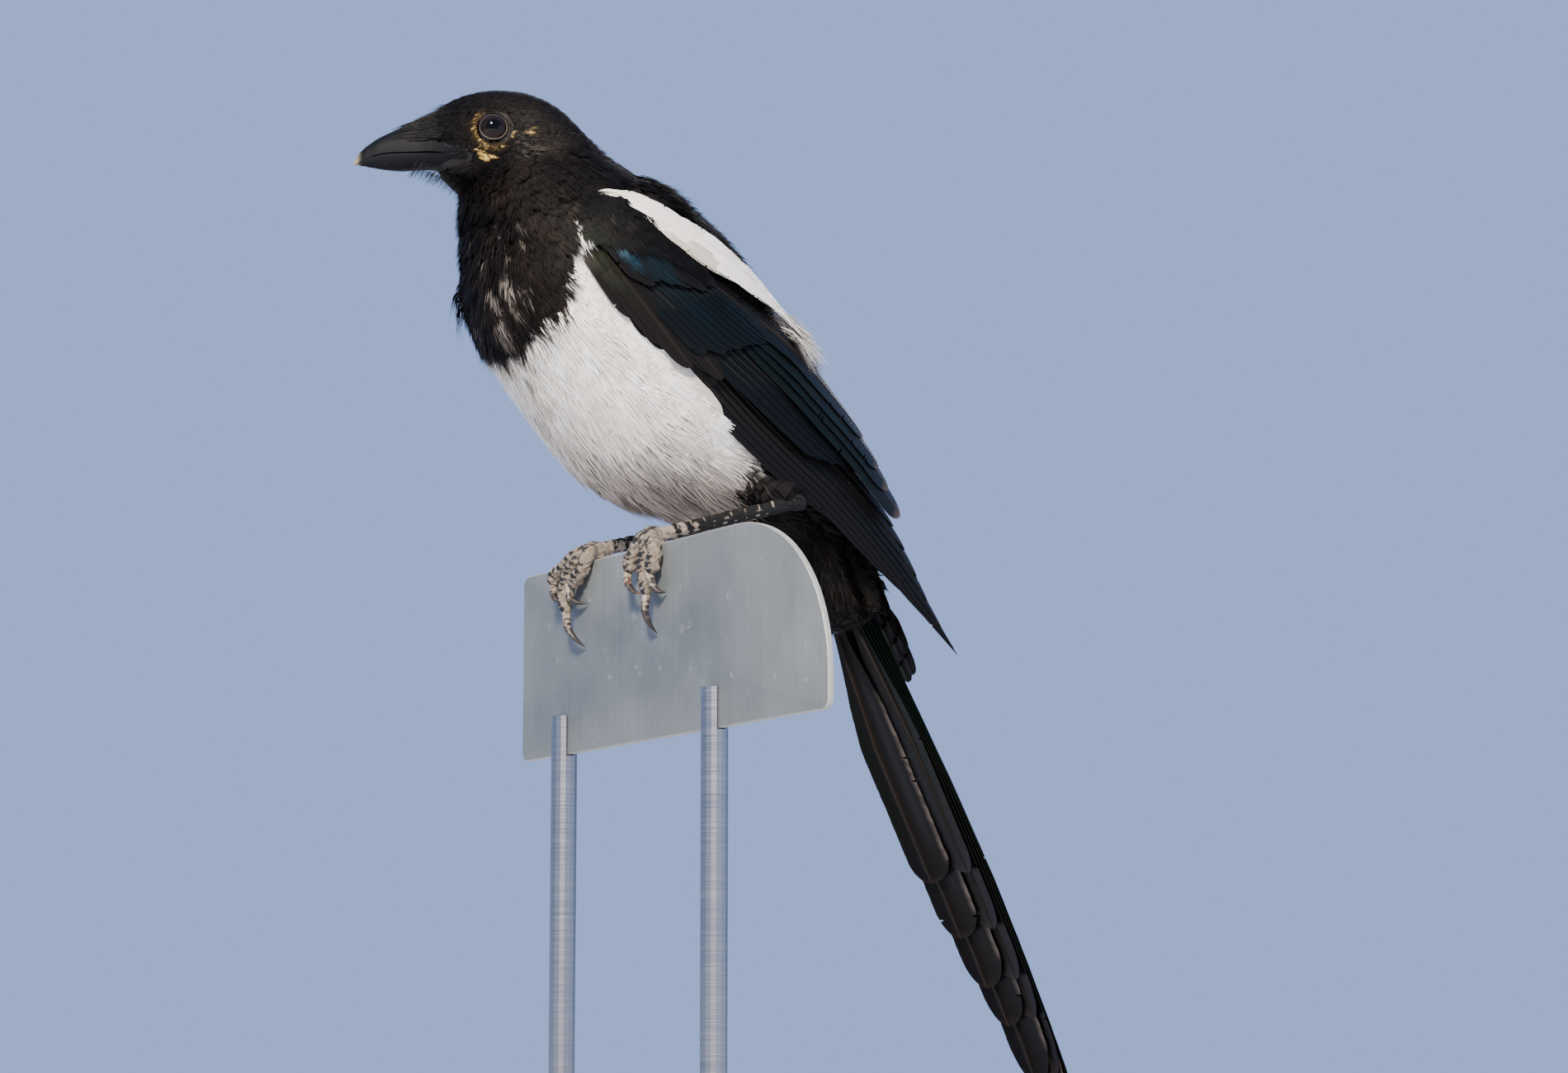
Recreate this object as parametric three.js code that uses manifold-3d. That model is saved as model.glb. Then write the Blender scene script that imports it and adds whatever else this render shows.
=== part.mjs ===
// A life-size magpie, perched across the edge of a cut length of sheet metal on a plain display stand.
// Millimetres, +Z up. The bird faces -X and its right side is +Y. The origin is the centre of the
// underside of the stand's base. The bird and its perch are modelled in the bird's frame, which stands
// over the middle of the panel's top edge between the feet.
import * as THREE from "three";
import { mergeVertices } from "three/addons/utils/BufferGeometryUtils.js";
import Module from "manifold-3d";

const wasm = await Module();
wasm.setup();

// Driving dimensions of the stand and the perch.
const GAP = 0.3; // between pieces that touch
const BIRD_HEIGHT = 210; // origin of the bird's frame above the floor, so that the tail tip clears it
const PERCH_X = -15; // panel's plane ahead of the middle of the base
const BASE_LENGTH = 190;
const BASE_WIDTH = 150;
const BASE_THICKNESS = 12;
const BASE_CORNER = 16;
const BASE_BEVEL = 1.5;
const ROD_RADIUS = 4;
const ROD_PLACES = { left: -58, right: 30 }; // across the bird
const SLOT_DEPTH = 12;
const PANEL_THICKNESS = 2;
const PANEL_TOP = -4.6; // the edge that the feet hold, in the bird's frame
const PANEL_LEFT = -119.5; // the rounded corner's side of the sheet
const PANEL_RIGHT = 55;
const PANEL_HEIGHT = 58;
const PANEL_CORNER = 48;

// Driving dimensions of the trunk. A station is a ring across the bird: the middle of the ring, the
// slope of the body's axis below the level in degrees, and the ring's reach to the back, the belly and
// the side.
const TRUNK = [
  { x: -38, z: 120, slope: 62, back: 13, belly: 12, side: 12 },
  { x: -31, z: 110, slope: 58, back: 21, belly: 23, side: 21 },
  { x: -24.2, z: 100.5, slope: 57, back: 27.5, belly: 29.5, side: 28 },
  { x: -15.1, z: 85, slope: 52, back: 35.5, belly: 37, side: 35.5 },
  { x: 2.4, z: 66.5, slope: 44, back: 40.5, belly: 41, side: 39 },
  { x: 22.5, z: 47.6, slope: 40, back: 39, belly: 40, side: 38.5 },
  { x: 46, z: 32, slope: 42, back: 31, belly: 31, side: 30 },
  { x: 65.2, z: 13.3, slope: 48, back: 18, belly: 17, side: 18 },
  { x: 79, z: -4, slope: 57, back: 12.5, belly: 13, side: 14 },
  { x: 86.5, z: -16, slope: 62, back: 10.5, belly: 12, side: 13.5 },
];
const TRUNK_RINGS = 21;
const TRUNK_SIDES = 24;

// The sheet that the folded wings lie in: over the trunk at the front, and straight on past the rump
// to the wing tips at the back.
const WING_SINK = 4; // how far the sheet lies below the feathered outline
const SHEET = [
  { x: -24.2, z: 100.5, slope: 57, back: 29.5, belly: 29.5, side: 28 },
  { x: -15.1, z: 85, slope: 52, back: 36.5, belly: 37, side: 35.5 },
  { x: 2.4, z: 66.5, slope: 44, back: 40.5, belly: 41, side: 39 },
  { x: 22.5, z: 47.6, slope: 40, back: 39.5, belly: 40, side: 39 },
  { x: 44, z: 31, slope: 38, back: 34.5, belly: 34, side: 35 },
  { x: 65, z: 17, slope: 37, back: 28.5, belly: 28, side: 30 },
  { x: 89, z: -1, slope: 39, back: 20.5, belly: 22, side: 23.5 },
  { x: 105, z: -14, slope: 41, back: 13, belly: 14, side: 17.5 },
  { x: 120, z: -27.5, slope: 43, back: 6, belly: 6, side: 13.5 },
];

// The head, in its own frame: u forward, w up, from the middle of the skull.
const HEAD_AT = new THREE.Vector3(-35.3, 2, 119.5);
const HEAD_TURN = 25; // degrees, to the bird's right
const SKULL = [
  { u: -24, top: -4, bottom: -11, half: 5 },
  { u: -20, top: 3.2, bottom: -16, half: 11 },
  { u: -14, top: 9.6, bottom: -18, half: 14.4 },
  { u: -6, top: 14, bottom: -18.5, half: 16 },
  { u: 3, top: 15.5, bottom: -18, half: 15.8 },
  { u: 10, top: 14.9, bottom: -16.8, half: 14.4 },
  { u: 17, top: 12.8, bottom: -14.6, half: 11.8 },
  { u: 22, top: 10, bottom: -12.2, half: 9.2 },
  { u: 25.5, top: 7.3, bottom: -10.3, half: 7 },
];
const EYE = { u: 6.9, v: 12.5, w: 0.3, radius: 5 };
const LID = { radius: 4.5, thick: 0.8, out: 2.9 };
const MOUTH = [
  [8, -7.9],
  [11.5, -6.2],
  [17.5, -6.2],
  [25.9, -5.35],
];
const BILL = [
  { u: 25.9, ridge: 5.4, mouth: -5.35, chin: -9.3, half: 5.6 },
  { u: 29, ridge: 4.9, mouth: -5.35, chin: -9.6, half: 5.1 },
  { u: 33, ridge: 3.3, mouth: -5.4, chin: -10.1, half: 4.4 },
  { u: 37, ridge: 1.5, mouth: -5.45, chin: -10.05, half: 3.5 },
  { u: 41, ridge: -0.65, mouth: -5.95, chin: -9.85, half: 2.6 },
  { u: 44.5, ridge: -3.3, mouth: -7.2, chin: -9.6, half: 1.6 },
  { u: 46.4, ridge: -5.4, mouth: -8.3, chin: -9.6, half: 1.0 },
  { u: 47.9, ridge: -8.1, mouth: -9.0, chin: -9.3, half: 0.4 },
];
const LOWER_BILL_SHORTER = 1.4;

// The tail: twelve graduated feathers in one closed stack, from the sixth pair underneath to the
// central pair on top.
const TAIL_ROOT = new THREE.Vector3(86.8, 0, -16.6);
const TAIL_SLOPE = 62.6;
const TAIL_LENGTHS = [202, 161, 141, 127, 109, 89]; // beyond the root, central pair first
const TAIL_SPREAD = [3.6, 5.2, 6.6, 7.8, 8.8, 9.8]; // shafts off the middle, central pair first
const TAIL_OUTER_WEB = 6.5;
const TAIL_INNER_WEB = 12.5;
const TAIL_LAYER = 0.82; // from one feather of the stack to the next
const TAIL_CAMBER = 0.008; // how far the stack's edges hang, per square of the distance from its middle
const TAIL_DROOP = 9; // how far the tips of the central pair curve to the belly's side
const TAIL_CORE = { length: 34, half: 12.6, thick: 6.4 };

// The legs. The left foot is at -Y.
const BALL_PLACES = { left: -19.4, right: 15.8 };
const HEEL = { x: 48.8, y: 27, z: 12.4 };
const KNEE = { x: 31, y: 17, z: 25 };
const TARSUS_RADIUS = 2.3;

const DEGREES = Math.PI / 180;
const lerp = THREE.MathUtils.lerp;

// Random draws with a fixed seed.
function seeded(seed) {
  let state = seed;
  return () => {
    state = (state * 1664525 + 1013904223) % 4294967296;
    return state / 4294967296;
  };
}

// A closed geometry as a solid, turned outside out if its faces point inwards.
function solidOf(geometry) {
  const bare = new THREE.BufferGeometry();
  bare.setAttribute("position", geometry.getAttribute("position"));
  if (geometry.index) bare.setIndex(geometry.index);
  const merged = mergeVertices(bare, 1e-4);
  const corners = merged.getAttribute("position").array;
  const faces = new Uint32Array(merged.index.array);
  const a = new THREE.Vector3();
  const b = new THREE.Vector3();
  const c = new THREE.Vector3();
  let volume = 0;
  for (let i = 0; i < faces.length; i += 3) {
    a.fromArray(corners, faces[i] * 3);
    b.fromArray(corners, faces[i + 1] * 3);
    c.fromArray(corners, faces[i + 2] * 3);
    volume += a.dot(b.cross(c));
  }
  if (volume < 0) faces.reverse();
  return new wasm.Manifold(
    new wasm.Mesh({ numProp: 3, vertProperties: Float32Array.from(corners), triVerts: faces }),
  );
}

function joined(solids) {
  return solids.reduce((whole, piece) => whole.add(piece));
}

// The solid's largest closed surface, as a named mesh.
function meshOf(name, solid, material) {
  const [largest] = solid.decompose().sort((p, q) => q.volume() - p.volume());
  const data = largest.getMesh();
  const corners = new Float32Array(data.numVert * 3);
  for (let i = 0; i < data.numVert; i++) {
    corners.set(data.vertProperties.subarray(i * data.numProp, i * data.numProp + 3), i * 3);
  }
  const geometry = new THREE.BufferGeometry();
  geometry.setAttribute("position", new THREE.BufferAttribute(corners, 3));
  geometry.setIndex(new THREE.BufferAttribute(data.triVerts, 1));
  geometry.computeVertexNormals();
  const mesh = new THREE.Mesh(geometry, material);
  mesh.name = name;
  return mesh;
}

// A closed form through rings of as many points each, with a fan over both ends.
function loft(rings) {
  const sides = rings[0].length;
  const points = rings.flat();
  const ends = [rings[0], rings[rings.length - 1]].map((ring) =>
    ring.reduce((sum, p) => sum.add(p), new THREE.Vector3()).divideScalar(sides),
  );
  const first = points.length;
  const faces = [];
  for (let r = 0; r < rings.length - 1; r++) {
    for (let s = 0; s < sides; s++) {
      const t = (s + 1) % sides;
      const [p, q] = [r * sides, (r + 1) * sides];
      faces.push(p + s, q + s, q + t, p + s, q + t, p + t);
    }
  }
  for (let s = 0; s < sides; s++) {
    const t = (s + 1) % sides;
    const last = (rings.length - 1) * sides;
    faces.push(first, s, t, first + 1, last + t, last + s);
  }
  return geometryOf([...points, ...ends], faces);
}

// A closed sheet between two grids of points, split into triangles alike on both faces.
function slab(upper, lower) {
  const rows = upper.length;
  const columns = upper[0].length;
  const at = (face, row, column) => (face * rows + row) * columns + column;
  const faces = [];
  for (let r = 0; r < rows - 1; r++) {
    for (let c = 0; c < columns - 1; c++) {
      const [p, q, s, t] = [at(0, r, c), at(0, r + 1, c), at(0, r + 1, c + 1), at(0, r, c + 1)];
      faces.push(p, q, s, p, s, t);
      const [k, l, m, n] = [at(1, r, c), at(1, r + 1, c), at(1, r + 1, c + 1), at(1, r, c + 1)];
      faces.push(k, m, l, k, n, m);
    }
  }
  const edge = [];
  for (let c = 0; c < columns - 1; c++) edge.push([0, c]);
  for (let r = 0; r < rows - 1; r++) edge.push([r, columns - 1]);
  for (let c = columns - 1; c > 0; c--) edge.push([rows - 1, c]);
  for (let r = rows - 1; r > 0; r--) edge.push([r, 0]);
  edge.forEach(([r, c], i) => {
    const [r2, c2] = edge[(i + 1) % edge.length];
    const [p, q, s, t] = [at(0, r, c), at(0, r2, c2), at(1, r2, c2), at(1, r, c)];
    faces.push(p, q, s, p, s, t);
  });
  return geometryOf([...upper.flat(), ...lower.flat()], faces);
}

function geometryOf(points, faces) {
  const geometry = new THREE.BufferGeometry().setFromPoints(points);
  geometry.setIndex(faces);
  return geometry;
}

// A round limb along a path, with a radius at each of its points.
function limb(path, radii, sides, steps = 2) {
  const curve = new THREE.CatmullRomCurve3(path);
  const frames = curve.computeFrenetFrames(steps, false);
  const rings = [];
  for (let i = 0; i <= steps; i++) {
    const t = i / steps;
    const middle = curve.getPoint(t);
    const place = t * (radii.length - 1);
    const k = Math.min(Math.floor(place), radii.length - 2);
    const radius = lerp(radii[k], radii[k + 1], place - k);
    rings.push(circle(middle, frames.normals[i], frames.binormals[i], radius, radius, sides));
  }
  return solidOf(loft(rings));
}

function circle(middle, across, up, halfAcross, halfUp, sides) {
  return Array.from({ length: sides }, (_, s) => {
    const angle = (2 * Math.PI * s) / sides;
    return middle
      .clone()
      .addScaledVector(across, halfAcross * Math.cos(angle))
      .addScaledVector(up, halfUp * Math.sin(angle));
  });
}

// A smooth value through evenly spaced knots.
function through(knots, place) {
  const k = Math.max(0, Math.min(Math.floor(place), knots.length - 2));
  const t = place - k;
  const p1 = knots[k];
  const p2 = knots[k + 1];
  const p0 = k > 0 ? knots[k - 1] : 2 * p1 - p2;
  const p3 = k + 2 < knots.length ? knots[k + 2] : 2 * p2 - p1;
  return (
    p1 +
    0.5 * t * (p2 - p0 + t * (2 * p0 - 5 * p1 + 4 * p2 - p3 + t * (3 * (p1 - p2) + p3 - p0)))
  );
}

function stationAt(stations, place) {
  return Object.fromEntries(
    Object.keys(stations[0]).map((key) => [key, through(stations.map((s) => s[key]), place)]),
  );
}

// A point on a station's ring: the angle runs from the back, 0, over the side, 90, to the belly, 180.
function ringPoint(station, angle, side, lift) {
  const slope = station.slope * DEGREES;
  const up = Math.cos(angle * DEGREES);
  const out = Math.sin(angle * DEGREES);
  const deep = (up > 0 ? station.back : station.belly) + lift;
  return new THREE.Vector3(
    station.x + Math.sin(slope) * deep * up,
    side * (station.side + lift) * out,
    station.z + Math.cos(slope) * deep * up,
  );
}

// Trunk: one smooth form from the nape to the root of the tail.
function trunkSolid(lift) {
  const rings = [];
  for (let r = 0; r < TRUNK_RINGS; r++) {
    const station = stationAt(TRUNK, (r / (TRUNK_RINGS - 1)) * (TRUNK.length - 1));
    const ring = [];
    for (let s = 0; s < TRUNK_SIDES; s++) ring.push(ringPoint(station, (360 * s) / TRUNK_SIDES, 1, lift));
    rings.push(ring);
  }
  return solidOf(loft(rings));
}

// Distances along the sheet's middle line, from its first station.
const SHEET_MARKS = [0];
for (let i = 1; i < SHEET.length; i++) {
  const step = Math.hypot(SHEET[i].x - SHEET[i - 1].x, SHEET[i].z - SHEET[i - 1].z);
  SHEET_MARKS.push(SHEET_MARKS[i - 1] + step);
}

function sheetStation(along) {
  let k = 0;
  while (k < SHEET_MARKS.length - 2 && along > SHEET_MARKS[k + 1]) k++;
  const place = k + (along - SHEET_MARKS[k]) / (SHEET_MARKS[k + 1] - SHEET_MARKS[k]);
  return stationAt(SHEET, place);
}

function sheetPoint(along, angle, side, lift) {
  return ringPoint(sheetStation(along), angle, side, lift - WING_SINK);
}

// A patch of the sheet as a solid, between two heights.
function patch({ from, to, high, low, bottom, top, rows, columns, side }) {
  const grid = (lift) =>
    Array.from({ length: rows }, (_, r) => {
      const f = r / (rows - 1);
      const along = lerp(from, to, f);
      return Array.from({ length: columns }, (_, c) => {
        const angle = lerp(high(along), low(along), c / (columns - 1));
        return sheetPoint(along, angle, side, lift(f, c / (columns - 1)));
      });
    });
  return solidOf(slab(grid(top), grid(bottom)));
}

// How wide a feather is along its length: round or pointed at the tip, narrower at the root.
function featherWidth(f, point) {
  const root = Math.min(1, 0.5 + 1.6 * f);
  const tip = f > point ? Math.sqrt(Math.max(0, 1 - ((f - point) / (1 - point)) ** 2)) : 1;
  return Math.max(0.1, root * tip);
}

// One feather on the wing's sheet, from its root to its tip, each given as a distance along the sheet
// and an angle off the back. Its outer web points to the wing's lower edge and lies higher than the
// inner web, which goes under the next feather.
const QUILL_ROWS = [0, 0.3, 0.6, 0.82, 0.94, 1];
const COVERT_ROWS = [0, 0.4, 0.78, 0.94, 1];
const FEATHER_THICKNESS = 0.5;
function wingFeather({ root, tip, outer, inner, lift, tilt, point, rows = COVERT_ROWS, side }) {
  const row = (f, face) => {
    const along = lerp(root[0], tip[0], f);
    const station = sheetStation(along);
    const reach = (station.back + station.side) / 2 - WING_SINK;
    const middle = lerp(root[1], tip[1], f);
    const width = featherWidth(f, point);
    const rise = lerp(lift[0], lift[1], Math.min(1, f * 2.2));
    return [-inner, outer].map((web) => {
      const off = web * width;
      const height = rise + (tilt * off) / (inner + outer) + (face * FEATHER_THICKNESS) / 2;
      return sheetPoint(along, middle + off / reach / DEGREES, side, height);
    });
  };
  const faces = [1, -1].map((face) => rows.map((f) => row(f, face)));
  return solidOf(slab(...faces));
}

// A tier of feathers whose roots and tips run from one end of the tier to the other. Each lies a
// little over the one before it.
function tier(count, first, last, side, shape) {
  return Array.from({ length: count }, (_, i) => {
    const f = count > 1 ? i / (count - 1) : 0;
    const mix = (key) => [lerp(first[key][0], last[key][0], f), lerp(first[key][1], last[key][1], f)];
    return wingFeather({ ...shape, root: mix("root"), tip: mix("tip"), lift: mix("lift"), side });
  });
}

// Places on the wing's sheet.
const WING_FRONT = 2;
const WING_CORE_END = 68;
const WING_LOW = [106, 113]; // lower edge, at the bend and behind it
const WING_BEND = 26; // length of the bend
const SHOULDER = [86, 77, 75, 70, 62, 51]; // between the wing and the shoulder feathers, every SHOULDER_STEP
const SHOULDER_STEP = 14;
const PRIMARY_TIPS = [168, 184, 195, 191, 180, 169, 158, 147]; // outermost feather first
const RIGHT_WING_REACH = 0.9; // the right wing is folded closer, so its tips end further forward
const SCAPULARS = { from: 2, to: 50, high: [62, 40] };
const RECESS = { from: 1, to: 150, high: [60, 37], bottom: -3.8, top: 9 };

const wingLow = (along) =>
  lerp(WING_LOW[0], WING_LOW[1], THREE.MathUtils.clamp((along - WING_FRONT) / WING_BEND, 0, 1));
const shoulder = (along) => through(SHOULDER, THREE.MathUtils.clamp(along / SHOULDER_STEP, 0, SHOULDER.length - 1));
const between = ([front, back], along) => lerp(front, back, THREE.MathUtils.clamp(along / 34, 0, 1));
const rounded = (f, c) => Math.min(1, 5 * f, 5 * (1 - f), 4 * c, 4 * (1 - c));

// The arm under the coverts, which every feather of the wing is rooted in.
function wingCore(side) {
  return patch({
    from: WING_FRONT,
    to: WING_CORE_END,
    high: (along) => shoulder(along) + 0.6,
    low: wingLow,
    bottom: () => RECESS.bottom + GAP,
    top: (f, c) => lerp(-0.4, 1.5, rounded(f, c)),
    rows: 7,
    columns: 5,
    side,
  });
}

function wingSolid(side) {
  const reach = side > 0 ? RIGHT_WING_REACH : 1;
  const primaries = PRIMARY_TIPS.map((tip, i) => {
    const f = i / (PRIMARY_TIPS.length - 1);
    return wingFeather({
      root: [lerp(34, 46, f), lerp(107, 86, f)],
      tip: [tip * reach, lerp(106, 50, f)],
      lift: [-0.6, -0.6],
      outer: 3.3,
      inner: 3.3,
      tilt: 3.2,
      point: 0.6,
      rows: QUILL_ROWS,
      side,
    });
  });
  const secondaries = tier(
    6,
    { root: [44, 96], tip: [116, 82], lift: [0.4, 2.2] },
    { root: [44, 75], tip: [136, 51], lift: [0.4, 2.2] },
    side,
    { outer: 3.8, inner: 3.8, tilt: 2.8, point: 0.8, rows: QUILL_ROWS },
  );
  const tertials = tier(
    3,
    { root: [46, 77], tip: [145, 41], lift: [0.6, 3.8] },
    { root: [48, 71], tip: [116, 30], lift: [0.8, 5.6] },
    side,
    { outer: 5, inner: 4, tilt: 0.5, point: 0.8, rows: QUILL_ROWS },
  );
  const primaryCoverts = tier(
    4,
    { root: [16, 104], tip: [50, 109], lift: [0.2, 2] },
    { root: [16, 96], tip: [70, 97], lift: [0.2, 2] },
    side,
    { outer: 3.2, inner: 3.2, tilt: 3.5, point: 0.75 },
  );
  const greaterCoverts = tier(
    5,
    { root: [26, 99], tip: [60, 97], lift: [0.8, 3.9] },
    { root: [26, 81], tip: [74, 62], lift: [0.8, 3.9] },
    side,
    { outer: 3.8, inner: 3.8, tilt: 1.9, point: 0.78 },
  );
  const medianCoverts = tier(
    4,
    { root: [8, 98], tip: [32, 97], lift: [0.8, 4.7] },
    { root: [10, 85], tip: [42, 77], lift: [0.8, 4.7] },
    side,
    { outer: 4, inner: 4, tilt: 2.6, point: 0.7 },
  );
  return joined([
    wingCore(side),
    ...primaries,
    ...secondaries,
    ...tertials,
    ...primaryCoverts,
    ...greaterCoverts,
    ...medianCoverts,
  ]);
}

// White shoulder feathers along the wing's upper edge.
function scapularSolid(side) {
  const core = patch({
    from: SCAPULARS.from,
    to: SCAPULARS.to,
    high: (along) => between(SCAPULARS.high, along),
    low: (along) => shoulder(along) - 0.6,
    bottom: () => RECESS.bottom + GAP,
    top: (f, c) => lerp(0, 3.4, rounded(f, c)),
    rows: 7,
    columns: 4,
    side,
  });
  const rows = [
    { from: 10, to: 48, high: [60, 48], low: [72, 63], lift: 5.4 },
    { from: 36, to: 82, high: [48, 43], low: [64, 52], lift: 7.2 },
  ];
  const feathers = rows.flatMap(({ from, to, high, low, lift }) =>
    tier(
      3,
      { root: [from, low[0]], tip: [to, low[1]], lift: [2, lift] },
      { root: [from, high[0]], tip: [to - 5, high[1]], lift: [2, lift] },
      side,
      { outer: 4.4, inner: 4.4, tilt: 1.8, point: 0.7 },
    ),
  );
  return joined([core, ...feathers]);
}

// What the trunk gives up for the wing and the shoulder feathers that lie in it.
function recessSolid(side) {
  return patch({
    from: RECESS.from,
    to: RECESS.to,
    high: (along) => between(RECESS.high, along),
    low: (along) => wingLow(along) + 4,
    bottom: () => RECESS.bottom,
    top: () => RECESS.top,
    rows: 15,
    columns: 9,
    side,
  });
}

// A point in the head's frame: forward, to the bird's right, and up.
function headPoint(u, v, w) {
  const turn = HEAD_TURN * DEGREES;
  return new THREE.Vector3(
    HEAD_AT.x - Math.cos(turn) * u + Math.sin(turn) * v,
    HEAD_AT.y + Math.sin(turn) * u + Math.cos(turn) * v,
    HEAD_AT.z + w,
  );
}

function skullSolid(lift) {
  const rings = 12;
  const sides = 18;
  const grid = Array.from({ length: rings }, (_, r) => {
    const station = stationAt(SKULL, (r / (rings - 1)) * (SKULL.length - 1));
    const middle = (station.top + station.bottom) / 2;
    const high = (station.top - station.bottom) / 2 + lift;
    return Array.from({ length: sides }, (_, s) => {
      const angle = (2 * Math.PI * s) / sides;
      return headPoint(station.u, (station.half + lift) * Math.sin(angle), middle + high * Math.cos(angle));
    });
  });
  return solidOf(loft(grid));
}

function ballAt(centre, radius) {
  const ball = new THREE.SphereGeometry(radius, 12, 8);
  return solidOf(ball.translate(centre.x, centre.y, centre.z));
}

function lidSolid(side) {
  const ring = new THREE.TorusGeometry(LID.radius, LID.thick, 5, 12);
  const outward = headPoint(EYE.u, side, EYE.w).sub(headPoint(EYE.u, 0, EYE.w));
  ring.applyQuaternion(new THREE.Quaternion().setFromUnitVectors(new THREE.Vector3(0, 0, 1), outward));
  const at = headPoint(EYE.u, side * (EYE.v + LID.out), EYE.w);
  return solidOf(ring.translate(at.x, at.y, at.z));
}

// A point on the bill's arch: 0 at the right corner of the mouth, over the ridge at 90, 180 at the left.
function billPoint(u, angle, lift) {
  const station = billStation(u);
  const [out, up] = [Math.cos(angle * DEGREES), Math.sin(angle * DEGREES)];
  const arch = station.ridge - station.mouth + lift;
  return headPoint(u, (station.half + lift) * out, station.mouth + arch * up ** 0.85);
}

function billStation(u) {
  let k = 0;
  while (k < BILL.length - 2 && u > BILL[k + 1].u) k++;
  const place = k + (u - BILL[k].u) / (BILL[k + 1].u - BILL[k].u);
  return stationAt(BILL, Math.max(0, place));
}

const BILL_RINGS = 13;
const BILL_ARCH = [0, 25, 50, 75, 90, 105, 130, 155, 180];

function upperBillSolid() {
  const grid = Array.from({ length: BILL_RINGS }, (_, r) => {
    const u = lerp(BILL[0].u + GAP, BILL[BILL.length - 1].u, r / (BILL_RINGS - 1));
    return BILL_ARCH.map((angle) => {
      const p = billPoint(u, angle, 0);
      p.z += GAP / 2;
      return p;
    });
  });
  return solidOf(loft(grid));
}

function lowerBillSolid() {
  const grid = Array.from({ length: BILL_RINGS }, (_, r) => {
    const u = lerp(BILL[0].u + GAP, BILL[BILL.length - 1].u, r / (BILL_RINGS - 1));
    const station = billStation(u);
    const shorter = 1 - LOWER_BILL_SHORTER / (BILL[BILL.length - 1].u - BILL[0].u);
    const at = BILL[0].u + GAP + (u - BILL[0].u - GAP) * shorter;
    const top = billStation(at).mouth - GAP / 2;
    const [half, deep] = [0.88 * station.half, station.mouth - station.chin];
    return BILL_ARCH.map((angle) => {
      const [out, down] = [Math.cos(angle * DEGREES), Math.sin(angle * DEGREES)];
      return headPoint(at, half * out, top - deep * down ** 0.85);
    });
  });
  return solidOf(loft(grid));
}

// The gape's line in the cheek, cut a little way into the skull.
function gapeSolid() {
  const half = 0.4;
  const wide = 25;
  const side = (v) =>
    [half, -half].map((off) => MOUTH.map(([u, w]) => headPoint(u + (u > 20 ? 2 : 0), v, w + off)));
  const [upperLeft, lowerLeft] = side(-wide);
  const [upperRight, lowerRight] = side(wide);
  const grid = (left, right) => left.map((p, i) => [p, right[i]]);
  return solidOf(slab(grid(upperLeft, upperRight), grid(lowerLeft, lowerRight)));
}

// Bristles that lie forward over the root of the bill.
function bristleSolid(angle, reach) {
  const steps = [
    [22.5, -1.5, 0.85],
    [25.5, 0.7, 0.85],
    [28.5, 0.7, 0.85],
    [28.5 + reach / 2, 0.7, 0.6],
    [28.5 + reach, 0.6, 0.25],
  ];
  const row = ([u, lift, half], thick) =>
    [-1, 1].map((edge) => billPoint(u, angle + (edge * half) / 5 / DEGREES, lift + thick));
  return solidOf(slab(steps.map((s) => row(s, 0.25)), steps.map((s) => row(s, -0.25))));
}

function headSolid() {
  const draw = seeded(11);
  const bristles = [22, 45, 68, 90, 112, 135, 158].map((angle) => bristleSolid(angle, 6 + 3 * draw()));
  const lids = [-1, 1].map(lidSolid);
  const gape = gapeSolid().subtract(skullSolid(-1.3));
  return joined([skullSolid(0), ...lids, ...bristles]).subtract(gape);
}

// A point of the tail: distance beyond its root, across it, and towards the back.
function tailPoint(along, across, lift) {
  const slope = TAIL_SLOPE * DEGREES;
  const high = lift - TAIL_CAMBER * across ** 2 - TAIL_DROOP * Math.max(0, along / TAIL_LENGTHS[0]) ** 4;
  return new THREE.Vector3(
    TAIL_ROOT.x + Math.cos(slope) * along + Math.sin(slope) * high,
    across,
    TAIL_ROOT.z - Math.sin(slope) * along + Math.cos(slope) * high,
  );
}

function tailFeather({ from, length, shaft, side, lift, outer, inner, point = 0.86 }) {
  const rows = [0, 0.25, 0.6, 0.88, 0.96, 1];
  const row = (f, face) => {
    const width = featherWidth(f, point);
    const spread = lerp(0.55, 1, Math.min(1, 2.2 * f));
    return [-inner, outer].map((web) => {
      const across = side * (shaft + web * width) * spread;
      return tailPoint(lerp(from, length, f), across, lift + (face * FEATHER_THICKNESS) / 2);
    });
  };
  return solidOf(slab(rows.map((f) => row(f, 1)), rows.map((f) => row(f, -1))));
}

function tailSolid() {
  const rings = 7;
  const core = Array.from({ length: rings }, (_, r) => {
    const f = r / (rings - 1);
    const ease = Math.sqrt(1 - (0.95 * f) ** 2);
    const [half, thick] = [TAIL_CORE.half * lerp(0.75, 1, ease), TAIL_CORE.thick * lerp(0.3, 1, ease)];
    return Array.from({ length: 14 }, (_, s) => {
      const angle = (2 * Math.PI * s) / 14;
      return tailPoint(TAIL_CORE.length * f, half * Math.cos(angle), thick * Math.sin(angle));
    });
  });
  const pairs = TAIL_LENGTHS.length;
  const feathers = TAIL_LENGTHS.flatMap((length, pair) =>
    [1, -1].map((side, i) =>
      tailFeather({
        from: 3,
        length: length - (side > 0 ? 0 : 2),
        shaft: TAIL_SPREAD[pair],
        side,
        lift: (2 * (pairs - 1 - pair) + i - pairs + 0.5) * TAIL_LAYER,
        outer: TAIL_OUTER_WEB,
        inner: TAIL_INNER_WEB,
      }),
    ),
  );
  const coverts = [-7, 0, 7].map((shaft, i) =>
    tailFeather({
      from: 1,
      length: 20 + 8 * (i % 2),
      shaft,
      side: 1,
      lift: 5.9 + 0.5 * (i % 2),
      outer: 6,
      inner: 6,
      point: 0.6,
    }),
  );
  return joined([solidOf(loft(core)), ...feathers, ...coverts]);
}

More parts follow.
